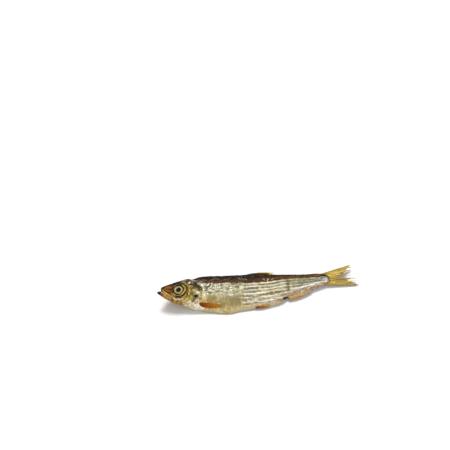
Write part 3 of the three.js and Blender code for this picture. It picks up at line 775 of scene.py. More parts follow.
jaw_tint = stained(
    jaw_tint, js, jd,
    ("orange", 3.6, -3.2, 1.8, 0.5, -0.55, 0.8),
    ("rust", 7.4, -5.9, 1, 0.6, -0.5, 1),
    ("rust", 9.7, -7.1, 0.9, 0.45, -0.5, 0.9),
    ("butter", 5.6, -3.8, 1.6, 0.35, -0.6, 0.7),
    ("cream", 9, -6, 1.9, 0.5, -0.5, 0.8),
    ("orange", 11.6, -8, 1, 0.4, -0.4, 0.8),
    ("brown", 1.9, -1.9, 1.3, 0.7, -0.6, 0.8),
    ("ink", 0.4, -0.5, 1.4, 1.3, 0, 1),
)
jaw_skin = skin_finish("tan_jaw_skin", (0.62, 0.42, 0.20, 1), (0.14, 0.05, 0.015, 1))
lower_jaw = fish_piece(
    "lower_jaw", jaw_place, jaw_faces, jaw_skin, tint=jaw_tint, lift=0 * js
)
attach(lower_jaw, "root")
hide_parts("sprat")

# ------------------------------------------------------------------ side bones of the mouth
# A flat bone hangs from each side of the snout and widens over the corner of the mouth.
# It is pale tan, and the skin has dried tight over it.


def rod(path, half_width, half_height, steps, around=14):
    """A closed rod along a path in the fish's frame, lying flat in the fish's side."""
    path = np.asarray(path, float)
    at = np.linspace(0, 1, len(path))
    k = np.linspace(0, 1, steps)
    line = np.stack([line_through(*zip(at, c))(k) for c in path.T], -1)
    run = np.gradient(line, axis=0)
    run /= np.linalg.norm(run[:, :2], axis=1)[:, None]
    end = np.sqrt(np.maximum(0, 1 - np.abs(2 * k - 1) ** 16))
    a = np.linspace(0, 2 * np.pi, around, endpoint=False)
    across = (half_width(k) * end)[:, None] * np.cos(a)
    out = (half_height(k) * end)[:, None] * np.sin(a)
    rings = np.stack([
        line[:, :1] - run[:, 1:2] * across,
        line[:, 1:2] + run[:, :1] * across,
        line[:, 2:] + out,
    ], -1)
    place = np.vstack([rings.reshape(-1, 3), line[:1], line[-1:]])
    return place, tube_faces(steps, around)


def both_sides(place, faces):
    """The same on the right side too, turned over so that it still faces outwards."""
    there = place * [1, 1, -1]
    return np.vstack([place, there]), faces + [[i + len(place) for i in f[::-1]] for f in faces]


mouth_path = [
    (2.3, 1.1, 0.85), (2.9, -0.4, 1.25), (4.2, -2.1, 1.7), (5.8, -3.7, 1.95), (7.6, -5, 1.95),
]
mouth_width = line_through((0, 0.24), (0.35, 0.3), (0.72, 0.6), (1, 0.4))
mouth_place, mouth_faces = both_sides(*rod(mouth_path, mouth_width, lambda k: 0.36 + 0 * k, 60))
ms, md = mouth_place.T[:2]
mouth_tint = stained(
    (0.42, 0.28, 0.10), ms, md,
    ("gold", 6, -4, 1.6, 0.8, -0.8, 0.5),
    ("butter", 4.2, -2, 1.6, 0.3, -0.9, 0.7),
    ("brown", 2, 1, 0.8, 0.8, 0, 0.9),
    ("rust", 7.9, -5.2, 0.7, 0.5, -0.6, 0.6),
)
mouth_bone = skin_finish("mouth_bone", (0.62, 0.42, 0.20, 1), (0.14, 0.05, 0.015, 1))
mouth_bones = fish_piece(
    "mouth_side_bones", mouth_place, mouth_faces, mouth_bone, tint=mouth_tint, lift=0 * ms
)
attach(mouth_bones, "root")
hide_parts("sprat")

# ------------------------------------------------------------------ eyes
# Each eye has dried to a low glossy button in its socket: a silver and yellow iris with a
# dark rim, round a black pupil that stands a little proud.

EYE_RADIUS, PUPIL = 2.4, 1.22


def button(radius, crown, rings, around):
    """A low closed dome on the left eye's place, with crown(share) its height above the skin."""
    k = np.r_[np.linspace(0.02, 1, rings), np.linspace(1, 0.02, 6)]
    under = np.r_[np.zeros(rings, bool), np.ones(6, bool)]
    a = np.linspace(0, 2 * np.pi, around, endpoint=False)
    s = EYE_S + radius * k[:, None] * np.cos(a)
    d = EYE_D + radius * k[:, None] * np.sin(a)
    out = np.where(under, crown(k) - 0.5 * (1 - k) - 0.05, crown(k))
    place = np.stack([s, d, skin(s, d) + out[:, None]], -1)
    middle = [[EYE_S, EYE_D, skin(EYE_S, EYE_D) + crown(0.0)]]
    below = [[EYE_S, EYE_D, skin(EYE_S, EYE_D) + crown(0.0) - 0.5]]
    return np.vstack([place.reshape(-1, 3), middle, below]), tube_faces(len(k), around)


def eye_finish(name, gloss, shine):
    """Dried eye: its own tints, finely flecked, with a dry gloss."""
    add, blend, spread, noise, surface = new_finish(name, shine)
    tint = add("Attribute", attribute_name="tint").outputs["Color"]
    fleck = noise(add("TexCoord").outputs["Object"], 2600)
    shade = blend(spread(fleck, 0.3, 0.7), (0.7, 0.7, 0.7, 1), (1.2, 1.2, 1.2, 1))
    return surface(blend(1.0, tint, shade, "MULTIPLY"), gloss, fleck, 0.25, 0.0001)


iris_place, iris_faces = both_sides(*button(EYE_RADIUS, lambda k: 0.22 - 0.32 * k**3, 40, 96))
es, ed = iris_place.T[:2]
eye_r, eye_a = np.hypot(es - EYE_S, ed - EYE_D), np.arctan2(ed - EYE_D, es - EYE_S)
iris_tint = toned(
    (0.31, 0.29, 0.11),
    (0.5 * hill(eye_a, 2.3, 0.7) * (1 - ramp(eye_r, 1.7, 2.0)), "blue"),
    (0.9 * hill(eye_a, 0.2, 1.2) * ramp(eye_r, 1.5, 1.9), "yellow"),
    (0.85 * hill(eye_a, -1.7, 0.8) * ramp(eye_r, 1.4, 1.9), "yellow"),
    (0.7 * hill(eye_a, -2.0, 0.35) * ramp(eye_r, 1.6, 2.0), "orange"),
    (0.6 * hill(np.abs(eye_a), 2.9, 0.6) * ramp(eye_r, 1.7, 2.0), "yellow"),
    (0.9 * (1 - ramp(eye_r, PUPIL - 0.05, PUPIL + 0.28)), "ink"),
    (ramp(eye_r, 2.05, 2.3), "ink"),
)
iris_tint *= (1 + 0.16 * dapple(9 * eye_a / np.pi + 30, eye_r / 0.6, 110))[:, None]
silver_iris = eye_finish("silver_iris", 0.4, 0.08)
irises = fish_piece("irises", iris_place, iris_faces, silver_iris, tint=iris_tint)
pupil_place, pupil_faces = both_sides(
    *button(PUPIL, lambda k: 0.22 + 0.2 * np.sqrt(np.maximum(0, 1.02 - np.square(k))), 16, 48)
)
pupil_tint = np.tile((0.008, 0.008, 0.008), (len(pupil_place), 1))
pupils = fish_piece(
    "pupils", pupil_place, pupil_faces, eye_finish("black_pupil", 0.25, 0.12), tint=pupil_tint
)
for piece in (irises, pupils):
    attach(piece, "root")
    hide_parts("sprat")

# ------------------------------------------------------------------ rings of the eyes
# The lid has shrunk to a raised golden ring round each socket, open towards the snout.

LID_RADIUS, LID_FROM, LID_TO = 3.2, -2.75, 1.3
lid_turn = np.linspace(LID_FROM, LID_TO, 15)
lid_s, lid_d = EYE_S + LID_RADIUS * np.cos(lid_turn), EYE_D + LID_RADIUS * np.sin(lid_turn)
lid_path = np.stack([lid_s, lid_d, skin(lid_s, lid_d) + 0.2], -1)
lid_width = line_through((0, 0.12), (0.15, 0.26), (0.8, 0.3), (1, 0.12))
lid_place, lid_faces = both_sides(*rod(lid_path, lid_width, lambda k: 0.34 + 0 * k, 96))
ls, ld = lid_place.T[:2]
lid_tint = stained(
    TONE["gold"], ls, ld,
    ("brown", 13.9, -0.6, 0.7, 1.2, 0, 0.6),
    ("ink", 11.6, 2, 2, 0.7, -0.2, 1),
    ("yellow", 13.5, 0.7, 0.8, 0.7, 0.6, 0.9),
    ("yellow", 12.8, -3.7, 1.2, 0.8, 0.7, 0.9),
    ("brown", 10.6, -4.4, 1.3, 0.5, 0, 0.5),
    ("yellow", 7.9, -3, 0.8, 0.7, -0.4, 0.9),
)
lid_tint *= (1 + 0.4 * dapple(ls / 0.5, ld / 0.5, 115))[:, None]
lid_gold = skin_finish("golden_lid", (0.8, 0.65, 0.3, 1), (0.2, 0.1, 0.02, 1), (0.28, 0.45), 0.35)
lids = fish_piece("eye_rings", lid_place, lid_faces, lid_gold, tint=lid_tint, lift=0 * ls)
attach(lids, "root")
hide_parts("sprat")

# ------------------------------------------------------------------ cheek plates
# Behind and below each eye lies the cheek's thin bony plate, golden and brown, with a
# raised ridge along its free rear edge. It is worked round the socket.

CHEEK_MIDDLE, CHEEK_REACH, CHEEK_PROUD, FRONT_SUNK = (12.1, -2.9), (4.8, 5.6), 0.7, 0.25
THROAT_CLEAR, PLATE_CLEAR = 0.6, 0.2


def oval_from(centre, middle, reach, angle):
    """How far an oval's edge lies from a point inside it, at each angle, short of the throat."""
    ca, sa = np.cos(angle) / reach[0], np.sin(angle) / reach[1]
    x, y = (centre[0] - middle[0]) / reach[0], (centre[1] - middle[1]) / reach[1]
    a, b, c = ca**2 + sa**2, x * ca + y * sa, x * x + y * y - 1
    full = (-b + np.sqrt(b * b - a * c)) / a
    for _ in range(100):
        low = centre[1] + full * np.sin(angle)
        floor = belly_line(centre[0] + full * np.cos(angle)) + THROAT_CLEAR
        full = np.where(low < floor, full - 0.1, full)
    return full


def side_plate(centre, hole, edge, out, rings, around, thickness):
    """A thin closed plate on both sides, from the hole (or its centre) to its edge. The
    height out(s, d, share) is of its upper face above the skin."""
    a = np.linspace(0, 2 * np.pi, around, endpoint=False)
    outer = edge(a)
    inner = np.minimum(hole, outer - 0.2)
    share = np.linspace(0, 1, rings)
    k = np.r_[share, share[::-1]][:, None]
    under = np.r_[np.zeros(rings), np.ones(rings)][:, None]
    reach = mix(inner, outer, k)
    s, d = centre[0] + reach * np.cos(a), centre[1] + reach * np.sin(a)
    thin = thickness * mix(1, 0.55, ramp(k, 0.9, 1))
    place = np.stack([s, d, skin(s, d) + out(s, d, k) - under * thin], -1).reshape(-1, 3)
    faces = []
    i = np.arange(around)
    for r in range(2 * rings):
        low, high = r * around, ((r + 1) % (2 * rings)) * around
        after = (i + 1) % around
        faces += np.stack([low + i, high + i, high + after, low + after], -1).tolist()
    return both_sides(place, faces)


def lean_open(s, middle, reach, proud):
    """A plate's height above the skin: sunk in front and open behind."""
    share = np.clip((s - middle[0] + reach[0]) / (2 * reach[0]), 0, 1)
    return mix(-FRONT_SUNK, PLATE_CLEAR, ramp(share, 0, 0.2)) + (proud - PLATE_CLEAR) * share**1.5


cheek_rise = lambda s: lean_open(s, CHEEK_MIDDLE, CHEEK_REACH, CHEEK_PROUD)


def cheek_out(s, d, k):
    e = in_plate(s, d, CHEEK_MIDDLE, CHEEK_REACH)
    turn = np.arctan2(d - CHEEK_MIDDLE[1], s - CHEEK_MIDDLE[0])
    from_eye = np.hypot(s - EYE_S, d - EYE_D)
    ridge = 0.16 * hill(e, 0.88, 0.06) - 0.12 * hill(e, 0.76, 0.05)
    ring = -0.16 * hill(from_eye, 4.3, 0.3)
    lines = 0.035 * np.sin(26 * turn + 2 * dapple(s, d, 120)) * ramp(e, 0.6, 0.9)
    dents = 0.07 * dapple(s / 1.3, d / 1.2, 121) + 0.04 * dapple(s / 0.5, d / 0.5, 122)
    return cheek_rise(s) - 0.1 * k + ridge + ring + lines + dents


cheek_edge = lambda a: oval_from((EYE_S, EYE_D), CHEEK_MIDDLE, CHEEK_REACH, a)
cheek_place, cheek_faces = side_plate((EYE_S, EYE_D), SOCKET, cheek_edge, cheek_out, 44, 240, 0.28)
cs, cd = cheek_place.T[:2]
cheek_turn = np.arctan2(cd - EYE_D, cs - EYE_S)
cheek_tint = stained(
    (0.33, 0.25, 0.075), cs, cd,
    ("gold", 13.5, -4.6, 3.4, 2.4, 0.6, 0.7),
    ("green", 8.6, -3.6, 1.3, 0.6, -0.6, 0.9),
    ("smoke", 9, -4.6, 0.6, 0.4, -0.3, 0.8),
    ("green", 10.4, -5.3, 1.4, 0.4, -0.2, 0.8),
    ("cream", 11.4, -6.4, 2.2, 0.6, -0.35, 0.9),
    ("white", 9.1, -5.8, 0.9, 0.4, -0.4, 0.9),
    ("rust", 11.4, -5.7, 1.3, 0.25, 0.1, 0.8),
    ("butter", 13.2, -7.5, 1.8, 0.7, -0.4, 0.9),
    ("golden_olive", 14.6, -3.6, 0.6, 1.6, -0.2, 0.8),
    ("brown", 15, -4.6, 0.45, 1.3, -0.05, 0.9),
    ("gold", 16.4, -3, 0.6, 2.4, 0.1, 0.9),
    ("yellow", 15.9, -4.7, 0.45, 0.5, 0, 1),
    ("brown", 15.7, -5.6, 0.5, 0.5, 0, 0.95),
    ("orange", 16.2, -5.4, 0.4, 0.6, 0, 0.9),
    ("yellow", 14.8, -6.8, 1, 0.7, 0, 1),
    ("ink", 12.2, 2.4, 3.4, 0.9, -0.1, 0.95),
    ("yellow", 14.3, 1, 1, 0.8, 0.5, 0.95),
    # painted highlight behind the eye
    ("white", 14.2, 1, 0.5, 0.4, 0.5, 0.9),
    ("green", 15.4, 1.9, 0.7, 0.8, 0.5, 0.8),
    ("ink", 16.2, 1, 0.6, 0.5, 0.5, 0.95),
)
ringed = ramp(cheek_turn, -2.6, -2.1) * (1 - ramp(cheek_turn, 0.6, 1.1))
arc = np.hypot((cs - EYE_S) / 1.27, cd - EYE_D)
cheek_tint = toned(
    cheek_tint,
    (np.minimum(1, 1.3 * hill(arc, 3.52, 0.36)) * ringed, "ink"),
    (0.7 * hill(arc, 3.05, 0.16) * ringed * ramp(cs, 12, 14), "gold"),
    (0.5 * hill(arc, 4.25, 0.25) * ringed * ramp(cs, 12, 14), "brown"),
)
# The plate's relief drives its colour: painted highlight on the ridge and lines, painted shade in
# the grooves and the ring round the eye.
cheek_lift = cheek_out(cs, cd, 0.5) - cheek_rise(cs)
cheek_lift *= 1 - ramp(cd, 1.0, 2.0)
cheek_bone = skin_finish(
    "golden_cheek", (0.68, 0.47, 0.09, 1), (0.045, 0.02, 0.006, 1), (0.3, 0.5), 0.08, (0.07, 0.18)
)
cheeks = fish_piece(
    "cheek_plates", cheek_place, cheek_faces, cheek_bone, tint=cheek_tint, lift=cheek_lift
)
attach(cheeks, "root")
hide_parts("sprat")

# ------------------------------------------------------------------ gill covers
# The gill cover is a thin round plate with a free rear edge, cream and green, dark where
# the gills show through, with painted shade along its upper rear margin. Faint lines fan out over
# it from its upper front corner.

GILL_PROUD = 0.45


def gill_rise(s, d):
    proud = GILL_PROUD * mix(0.6, 1, ramp(d, -5.5, -2))
    return lean_open(s, GILL_MIDDLE, GILL_REACH, proud)


def gill_out(s, d, k):
    e = in_plate(s, d, GILL_MIDDLE, GILL_REACH)
    fan = np.arctan2(d - 1.0, s - 14.5)
    lines = 0.04 * np.sin(44 * fan + 1.5 * dapple(s / 1.2, d / 1.2, 130)) * ramp(s, 17, 18.5)
    seam = -0.14 * hill(d, -7.0 + 0.35 * (s - 19) + 0.2 * dapple(s, d, 131), 0.22)
    seam *= ramp(s, 16.5, 18)
    dents = 0.08 * dapple(s / 1.7, d / 1.5, 132) + 0.04 * dapple(s / 0.6, d / 0.6, 133)
    margin = (0.08 * hill(e, 0.97, 0.03) - 0.08 * hill(e, 0.9, 0.03)) * ramp(d, -4.5, -1.5)
    sunk = -1.6 * (1 - ramp(np.hypot(s - EYE_S, d - EYE_D), 4.3, 5.3))
    return gill_rise(s, d) - 0.1 * k + lines + seam + dents + margin + sunk


def gill_edge(a):
    wavy = 0.12 * np.sin(7 * a) * np.cos(a)
    return oval_from(GILL_MIDDLE, GILL_MIDDLE, GILL_REACH, a) + wavy


gill_place, gill_faces = side_plate(GILL_MIDDLE, 1.0, gill_edge, gill_out, 48, 240, 0.2)
gs, gd = gill_place.T[:2]
gill_e = in_plate(gs, gd, GILL_MIDDLE, GILL_REACH)
gill_tint = stained(
    (0.40, 0.33, 0.11), gs, gd,
    ("cream", 15.8, -9.2, 4.2, 1.6, -0.4, 0.95),
    ("green", 18.5, -1.1, 1.7, 2, 0.2, 1),
    ("ink", 19, -0.6, 1.1, 0.9, 0.4, 0.75),
    ("green", 17.6, -4.4, 0.8, 1.7, 0.2, 0.8),
    ("yellow", 18, 0, 0.6, 0.9, 0.4, 0.7),
    ("ink", 17.1, -1.6, 0.5, 0.7, 0.2, 0.9),
    ("rust", 17.3, -1.6, 0.5, 1.1, 0.1, 1),
    ("ink", 17.6, 0.9, 1.3, 0.4, 0.3, 0.9),
    ("cream", 19.6, -3.2, 1.7, 0.8, -0.6, 0.95),
    # painted highlight on the cover
    ("white", 20.5, -4, 1.1, 0.9, -0.5, 1),
    ("butter", 21.6, -6.4, 0.8, 1.7, 0.1, 0.8),
    ("pink", 19.6, -8.4, 1.9, 1, 0, 0.7),
    ("white", 20.6, -8, 0.9, 0.5, 0.5, 0.9),
    ("plum", 18.3, -7.9, 1.1, 0.35, 0.9, 0.9),
    ("ink", 19.4, -5.9, 1.6, 0.8, 0.12, 1),
    ("smoke", 18.2, -6.8, 0.8, 1.1, 0.2, 0.9),
    ("brown", 17.4, -7.9, 0.5, 0.9, 0.4, 0.6),
    ("butter", 21.8, -8.2, 0.9, 1.2, 0.3, 0.8),
)
# A dark plum band with a rust line along the cover's upper rear margin: painted shade of the gill's
# opening.
gill_turn = np.arctan2(gd - GILL_MIDDLE[1], gs - GILL_MIDDLE[0])
dark_margin = ramp(gill_e, 0.8, 0.88) * ramp(gill_turn, 0.05, 0.25)
dark_margin *= 1 - ramp(gill_turn, 1.1, 1.4)
gill_tint = toned(
    gill_tint,
    (0.95 * dark_margin, "plum"),
    (0.6 * dark_margin * hill(gill_e, 0.86, 0.03), "rust"),
)
# The plate's relief drives its colour: painted highlight on its lines and margin, painted shade in
# the seam and hollows.
gill_lift = gill_out(gs, gd, 0.5) - gill_rise(gs, gd)
gill_bone = skin_finish(
    "cream_gill_cover", (0.88, 0.78, 0.46, 1), (0.05, 0.035, 0.015, 1), (0.35, 0.55), 0.06,
    (0.06, 0.18),
)
gill_covers = fish_piece(
    "gill_covers", gill_place, gill_faces, gill_bone, tint=gill_tint, lift=gill_lift
)
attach(gill_covers, "root")
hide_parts("sprat")

# ------------------------------------------------------------------ throat rays
# Under each gill cover a fan of thin bony rays holds the throat's skin. They have dried
# pale, and show as fine ribs along the lower edge of the head.

THROAT_RAYS = 7
FIN_SHINE, FIN_GLOSS = 0.05, (0.35, 0.6)


def face_outwards(mesh):
    """Turns a mesh of closed shells so that its faces point outwards."""
    mesh.calc_loop_triangles()
    points = np.zeros(len(mesh.vertices) * 3)
    mesh.vertices.foreach_get("co", points)
    corners = np.zeros(len(mesh.loop_triangles) * 3, int)
    mesh.loop_triangles.foreach_get("vertices", corners)
    a, b, c = points.reshape(-1, 3)[corners.reshape(-1, 3)].transpose(1, 0, 2)
    if np.einsum("ij,ij->i", a, np.cross(b, c)).sum() < 0:
        mesh.flip_normals()


def grown(name, tree_name, guides, build, inputs):
    """A piece that Geometry Nodes grow from a mesh of guides, kept as one plain mesh. Each
    input is (label, kind, value), and build(add, given) returns the grown geometry."""
    piece = bpy.data.objects.new(name, guides)
    bpy.context.scene.collection.objects.link(piece)
    tree = bpy.data.node_groups.new(tree_name, "GeometryNodeTree")
    new_socket = tree.interface.new_socket
    new_socket("Guides", in_out="INPUT", socket_type="NodeSocketGeometry")
    sockets = {
        label: new_socket(label, in_out="INPUT", socket_type="NodeSocket" + kind).identifier
        for label, kind, value in inputs
    }
    new_socket("Grown", in_out="OUTPUT", socket_type="NodeSocketGeometry")
    add, feed = node_adder(tree)
    given = add("NodeGroupInput").outputs
    real = add("GeometryNodeRealizeInstances", {"Geometry": build(add, given)})
    finished = {"Geometry": real.outputs["Geometry"], "Material": given["Finish"]}
    finished = add("GeometryNodeSetMaterial", finished).outputs["Geometry"]
    add("NodeGroupOutput", {"Grown": finished})
    growth = piece.modifiers.new("growth", "NODES")
    growth.node_group = tree
    for label, kind, value in inputs:
        growth[sockets[label]] = value
    evaluated = piece.evaluated_get(bpy.context.evaluated_depsgraph_get())
    mesh = bpy.data.meshes.new_from_object(evaluated)
    piece.modifiers.remove(growth)
    piece.data = mesh
    face_outwards(mesh)
    return piece


def swept_rays(name, paths, finish, joint_spacing=0.6, joint_swelling=0.12, sides=7):
    """Fin or gill rays along paths of (s, d, t, girth) rows, as one plain mesh. A ray is a
    thin tapered rod, swollen a little at each of its joints."""
    guide = bpy.data.meshes.new(name + "_guide")
    rows = np.concatenate([np.asarray(path, float) for path in paths])
    starts = np.cumsum([0] + [len(path) for path in paths])
    edges = [(i, i + 1) for a, b in zip(starts[:-1], starts[1:]) for i in range(a, b - 1)]
    places = settle(*rows[:, :3].T)
    places[:, 2] = np.maximum(places[:, 2], rows[:, 3] * MM * (1 + joint_swelling / 2))
    guide.from_pydata(places.tolist(), edges, [])
    guide.attributes.new("girth", "FLOAT", "POINT").data.foreach_set(
        "value", (rows[:, 3] * MM).astype(np.float32)
    )
    share = np.concatenate([np.linspace(0, 1, len(path)) for path in paths])
    guide.attributes.new("along", "FLOAT", "POINT").data.foreach_set(
        "value", share.astype(np.float32)
    )

    def sweep(add, given):
        curves = add("GeometryNodeMeshToCurve", {"Mesh": given["Guides"]})
        girth = add("GeometryNodeInputNamedAttribute", {"Name": "girth"})
        run = add("GeometryNodeSplineParameter").outputs["Length"]
        turns = add("Math", {0: run, 1: given["Joint spacing"]}, operation="DIVIDE")
        joint = add("Math", {0: turns.outputs[0], 1: 0.5}, operation="PINGPONG").outputs[0]
        swell = add("Math", {0: joint, 1: given["Joint swelling"], 2: 1}, operation="MULTIPLY_ADD")
        scale = {0: swell.outputs[0], 1: girth.outputs["Attribute"]}
        section = {"Radius": 1, "Resolution": given["Sides"]}
        return add("GeometryNodeCurveToMesh", {
            "Curve": curves.outputs["Curve"],
            "Profile Curve": add("GeometryNodeCurvePrimitiveCircle", section).outputs["Curve"],
            "Scale": add("Math", scale, operation="MULTIPLY").outputs[0],
            "Fill Caps": True,
        }).outputs["Mesh"]

    ray = grown(name, name + "_sweep", guide, sweep, (
        ("Joint spacing", "Float", joint_spacing * MM),
        ("Joint swelling", "Float", joint_swelling),
        ("Sides", "Int", sides),
        ("Finish", "Material", finish),
    ))
    ray.data.shade_smooth()
    return ray


def ray_finish(name, root, tip, joint):
    """Dried fin ray: from the root's colour to the tip's, darker at each joint."""
    add, blend, spread, noise, surface = new_finish(name, FIN_SHINE)
    along = add("Attribute", attribute_name="along").outputs["Fac"]
    grain = noise(add("TexCoord").outputs["Object"], 1500)
    colour = blend(spread(along, 0.1, 0.9), root, tip)
    colour = blend(spread(grain, 0.52, 0.72, 0, 0.85), colour, joint)
    return surface(colour, spread(grain, 0.3, 0.7, *FIN_GLOSS), grain, 0.4, 0.00008)


throat_paths = []
for i in range(THROAT_RAYS):
    for side in (1, -1):
        k = np.linspace(0, 1, 14)
        ray_s = mix(10.0 + 0.75 * i, 16.2 + 0.95 * i, k)
        ray_d = belly_line(ray_s) + mix(1.3, 0.3 + 0.06 * i, k**0.7)
        ray_t = side * (skin(ray_s, ray_d) - 0.03)
        girth = 0.11 * np.sqrt(np.maximum(0.05, 1 - (2 * k - 1) ** 4))
        throat_paths.append(np.stack([ray_s, ray_d, ray_t, girth], -1))
throat_finish = ray_finish(
    "pale_throat_ray", (0.66, 0.50, 0.24, 1), (0.78, 0.68, 0.42, 1), (0.45, 0.24, 0.07, 1)
)
throat = swept_rays("throat_rays", throat_paths, throat_finish, 0.9, 0.1)
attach(throat, "root")
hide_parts("sprat")

# ------------------------------------------------------------------ keel scutes
# A row of small sharp scales runs along the belly's edge, each one lapping over the next
# and pointing back towards the tail.

SCUTES, SCUTE_LENGTH, SCUTE_WIDTH, SCUTE_HEIGHT = 30, 1.5, 0.5, 0.5
keel_s = np.linspace(24.5, 64, SCUTES) + np.random.default_rng(41).uniform(-0.15, 0.15, SCUTES)
keel_d = belly_line(keel_s)
keel_run = np.stack([np.ones(SCUTES), (belly_line(keel_s + 0.5) - belly_line(keel_s - 0.5))], -1)
keel_run /= np.linalg.norm(keel_run, axis=1)[:, None]
keel_at = settle(keel_s, keel_d + 0.17, 0 * keel_s)
keel_to = settle(keel_s + 0.1 * keel_run[:, 0], keel_d + 0.152 + 0.1 * keel_run[:, 1], 0 * keel_s)
scute_seeds = bpy.data.meshes.new("scute_seeds")
scute_seeds.from_pydata(keel_at.tolist(), [], [])
heading = scute_seeds.attributes.new("heading", "FLOAT_VECTOR", "POINT")
heading.data.foreach_set("vector", (keel_to - keel_at).astype(np.float32).ravel())


def scute_row(add, given):
    spike = add("GeometryNodeMeshCone", {
        "Vertices": 8, "Side Segments": 3, "Radius Top": 0.08, "Radius Bottom": 0.5, "Depth": 1,
    })
    sizes = [given["Scute " + side] for side in ("height", "width", "length")]
    shape = add("CombineXYZ", dict(zip("XYZ", sizes))).outputs[0]
    sized = add("GeometryNodeTransform", {"Geometry": spike.outputs["Mesh"], "Scale": shape})
    run = add("GeometryNodeInputNamedAttribute", {"Name": "heading"}, data_type="FLOAT_VECTOR")
    run = {"Vector": run.outputs["Attribute"]}
    turned = add("FunctionNodeAlignRotationToVector", run, axis="Z", pivot_axis="AUTO")
    least = add("Math", {0: 1, 1: given["Unevenness"]}, operation="SUBTRACT").outputs[0]
    uneven = {2: least, 3: 1, "Seed": 7}
    uneven = add("FunctionNodeRandomValue", uneven, data_type="FLOAT").outputs[1]
    return add("GeometryNodeInstanceOnPoints", {
        "Points": given["Guides"],
        "Instance": sized.outputs["Geometry"],
        "Rotation": turned.outputs["Rotation"],
        "Scale": uneven,
    }).outputs["Instances"]


scute_tan, scute_joint = (0.66, 0.50, 0.22, 1), (0.45, 0.28, 0.09, 1)
scutes = grown("keel_scutes", "scute_row", scute_seeds, scute_row, (
    ("Scute length", "Float", SCUTE_LENGTH * MM),
    ("Scute width", "Float", SCUTE_WIDTH * MM),
    ("Scute height", "Float", SCUTE_HEIGHT * MM),
    ("Unevenness", "Float", 0.35),
    ("Finish", "Material", ray_finish("cream_scute", scute_tan, scute_tan, scute_joint)),
))
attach(scutes, "root")
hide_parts("sprat")

# ------------------------------------------------------------------ pectoral fins
# Each pectoral fin has dried shut against the belly behind the gill cover: a folded fan
# of amber skin, dark red at the root, with its rays standing out as ribs.

LEAF_PROUD = 0.3
LEAF_BED = 0.25  # where the skin has ended, a fin lies this far out
PECTORAL_RAYS = 9


def leaf(upper, lower, root, tip, out, along, across, ribs, seed):
    """A folded fin lying on the left side between its upper and lower edges, closed."""
    k = np.linspace(0, 1, along)[:, None]
    w = np.linspace(0, 1, across)[None, :]
    ragged = 1 - 0.06 * (0.5 + 0.5 * np.cos(2 * np.pi * ribs * w)) * k**6
    ragged = ragged - 0.05 * (1 + dapple(9 * w + 3, 0 * w, seed)) * k**4
    s = mix(root, tip, k) * ragged + root * (1 - ragged)
    d = mix(lower(s), upper(s), w)
    body = np.sin(np.pi * np.clip(w, 0.03, 0.97)) ** 0.5
    rib = 0.5 - 0.5 * np.cos(2 * np.pi * ribs * w)
    pucker = 0.06 * dapple(s / 1.4, d / 0.8, seed + 1) * k
    proud = out * ramp(k, -0.05, 0.12) * (0.45 + 0.55 * body) + 0.07 * (rib - 0.5) + pucker
    bed = np.maximum(skin(s, d), LEAF_BED)
    top = np.stack([s, d, bed + proud], -1)
    under = np.stack([s, d, bed + np.minimum(proud - 0.16, 0.05)], -1)
    return thin_shell(top, under)


def thin_shell(top, under):
    """A closed thin solid between two like grids of points."""
    rows, columns = top.shape[:2]
    count = rows * columns
    faces = []
    j = np.arange(columns - 1)
    for i in range(rows - 1):
        a = i * columns + j
        b = a + columns
        faces += np.stack([a, b, b + 1, a + 1], -1).tolist()
        faces += (np.stack([a, a + 1, b + 1, b], -1) + count).tolist()
    rim = [i * columns for i in range(rows)]
    rim += [(rows - 1) * columns + c for c in range(1, columns)]
    rim += [i * columns + columns - 1 for i in range(rows - 2, -1, -1)]
    rim += list(range(columns - 2, 0, -1))
    for a, b in zip(rim, rim[1:] + rim[:1]):
        faces.append([b, a, a + count, b + count])
    return np.vstack([top.reshape(-1, 3), under.reshape(-1, 3)]), faces


def web_finish(name, vein):
    """Dried fin skin: its own tints, crossed by fine lines that follow the rays."""
    add, blend, spread, noise, surface = new_finish(name, FIN_SHINE)
    tint = add("Attribute", attribute_name="tint").outputs["Color"]
    place = add("Attribute", attribute_name="place").outputs["Vector"]
    lines = noise(add("Mapping", {"Vector": place, "Scale": (0.5, 6, 2)}).outputs["Vector"], 1)
    grain = noise(add("TexCoord").outputs["Object"], 2400)
    shade = blend(spread(grain, 0.3, 0.7), (0.72, 0.7, 0.66, 1), (1.25, 1.25, 1.2, 1))
    colour = blend(1.0, tint, shade, "MULTIPLY")
    colour = blend(spread(lines, 0.55, 0.7, 0, 0.6), colour, vein)
    rough = add("Math", {0: lines, 1: grain}, operation="ADD").outputs[0]
    return surface(colour, spread(grain, 0.3, 0.7, *FIN_GLOSS), rough, 0.5, 0.0001)


pectoral_upper = line_through((20.9, -9.3), (23.5, -9.5), (26.6, -9.9), (30, -10.7), (33, -11.5))
pectoral_lower = line_through(
    (20.9, -10.1), (22.6, -11.4), (24.8, -12.1), (28.5, -12.5), (33, -12.3)
)
pectoral_place, pectoral_faces = both_sides(
    *leaf(pectoral_upper, pectoral_lower, 20.9, 32.9, LEAF_PROUD, 90, 80, PECTORAL_RAYS, 151)
)
ps, pd = pectoral_place.T[:2]
pectoral_tint = stained(
    (0.58, 0.15, 0.005), ps, pd,
    ("rust", 22.2, -10.2, 2, 1.1, -0.3, 0.95),
    ("rust", 25, -11.3, 3, 0.5, -0.2, 0.8),
    ("orange", 27, -10.4, 4, 0.4, -0.15, 0.8),
    ("gold", 28.5, -11.4, 3, 0.6, -0.1, 0.7),
    ("gold", 31.5, -11.6, 1.8, 1, -0.1, 0.95),
    ("yellow", 24.6, -12, 3, 0.3, -0.3, 0.8),
)
amber_web = web_finish("amber_fin", (0.24, 0.05, 0.006, 1))
pectorals = fish_piece(
    "pectoral_fins", pectoral_place, pectoral_faces, amber_web, tint=pectoral_tint
)
pectoral_paths = []
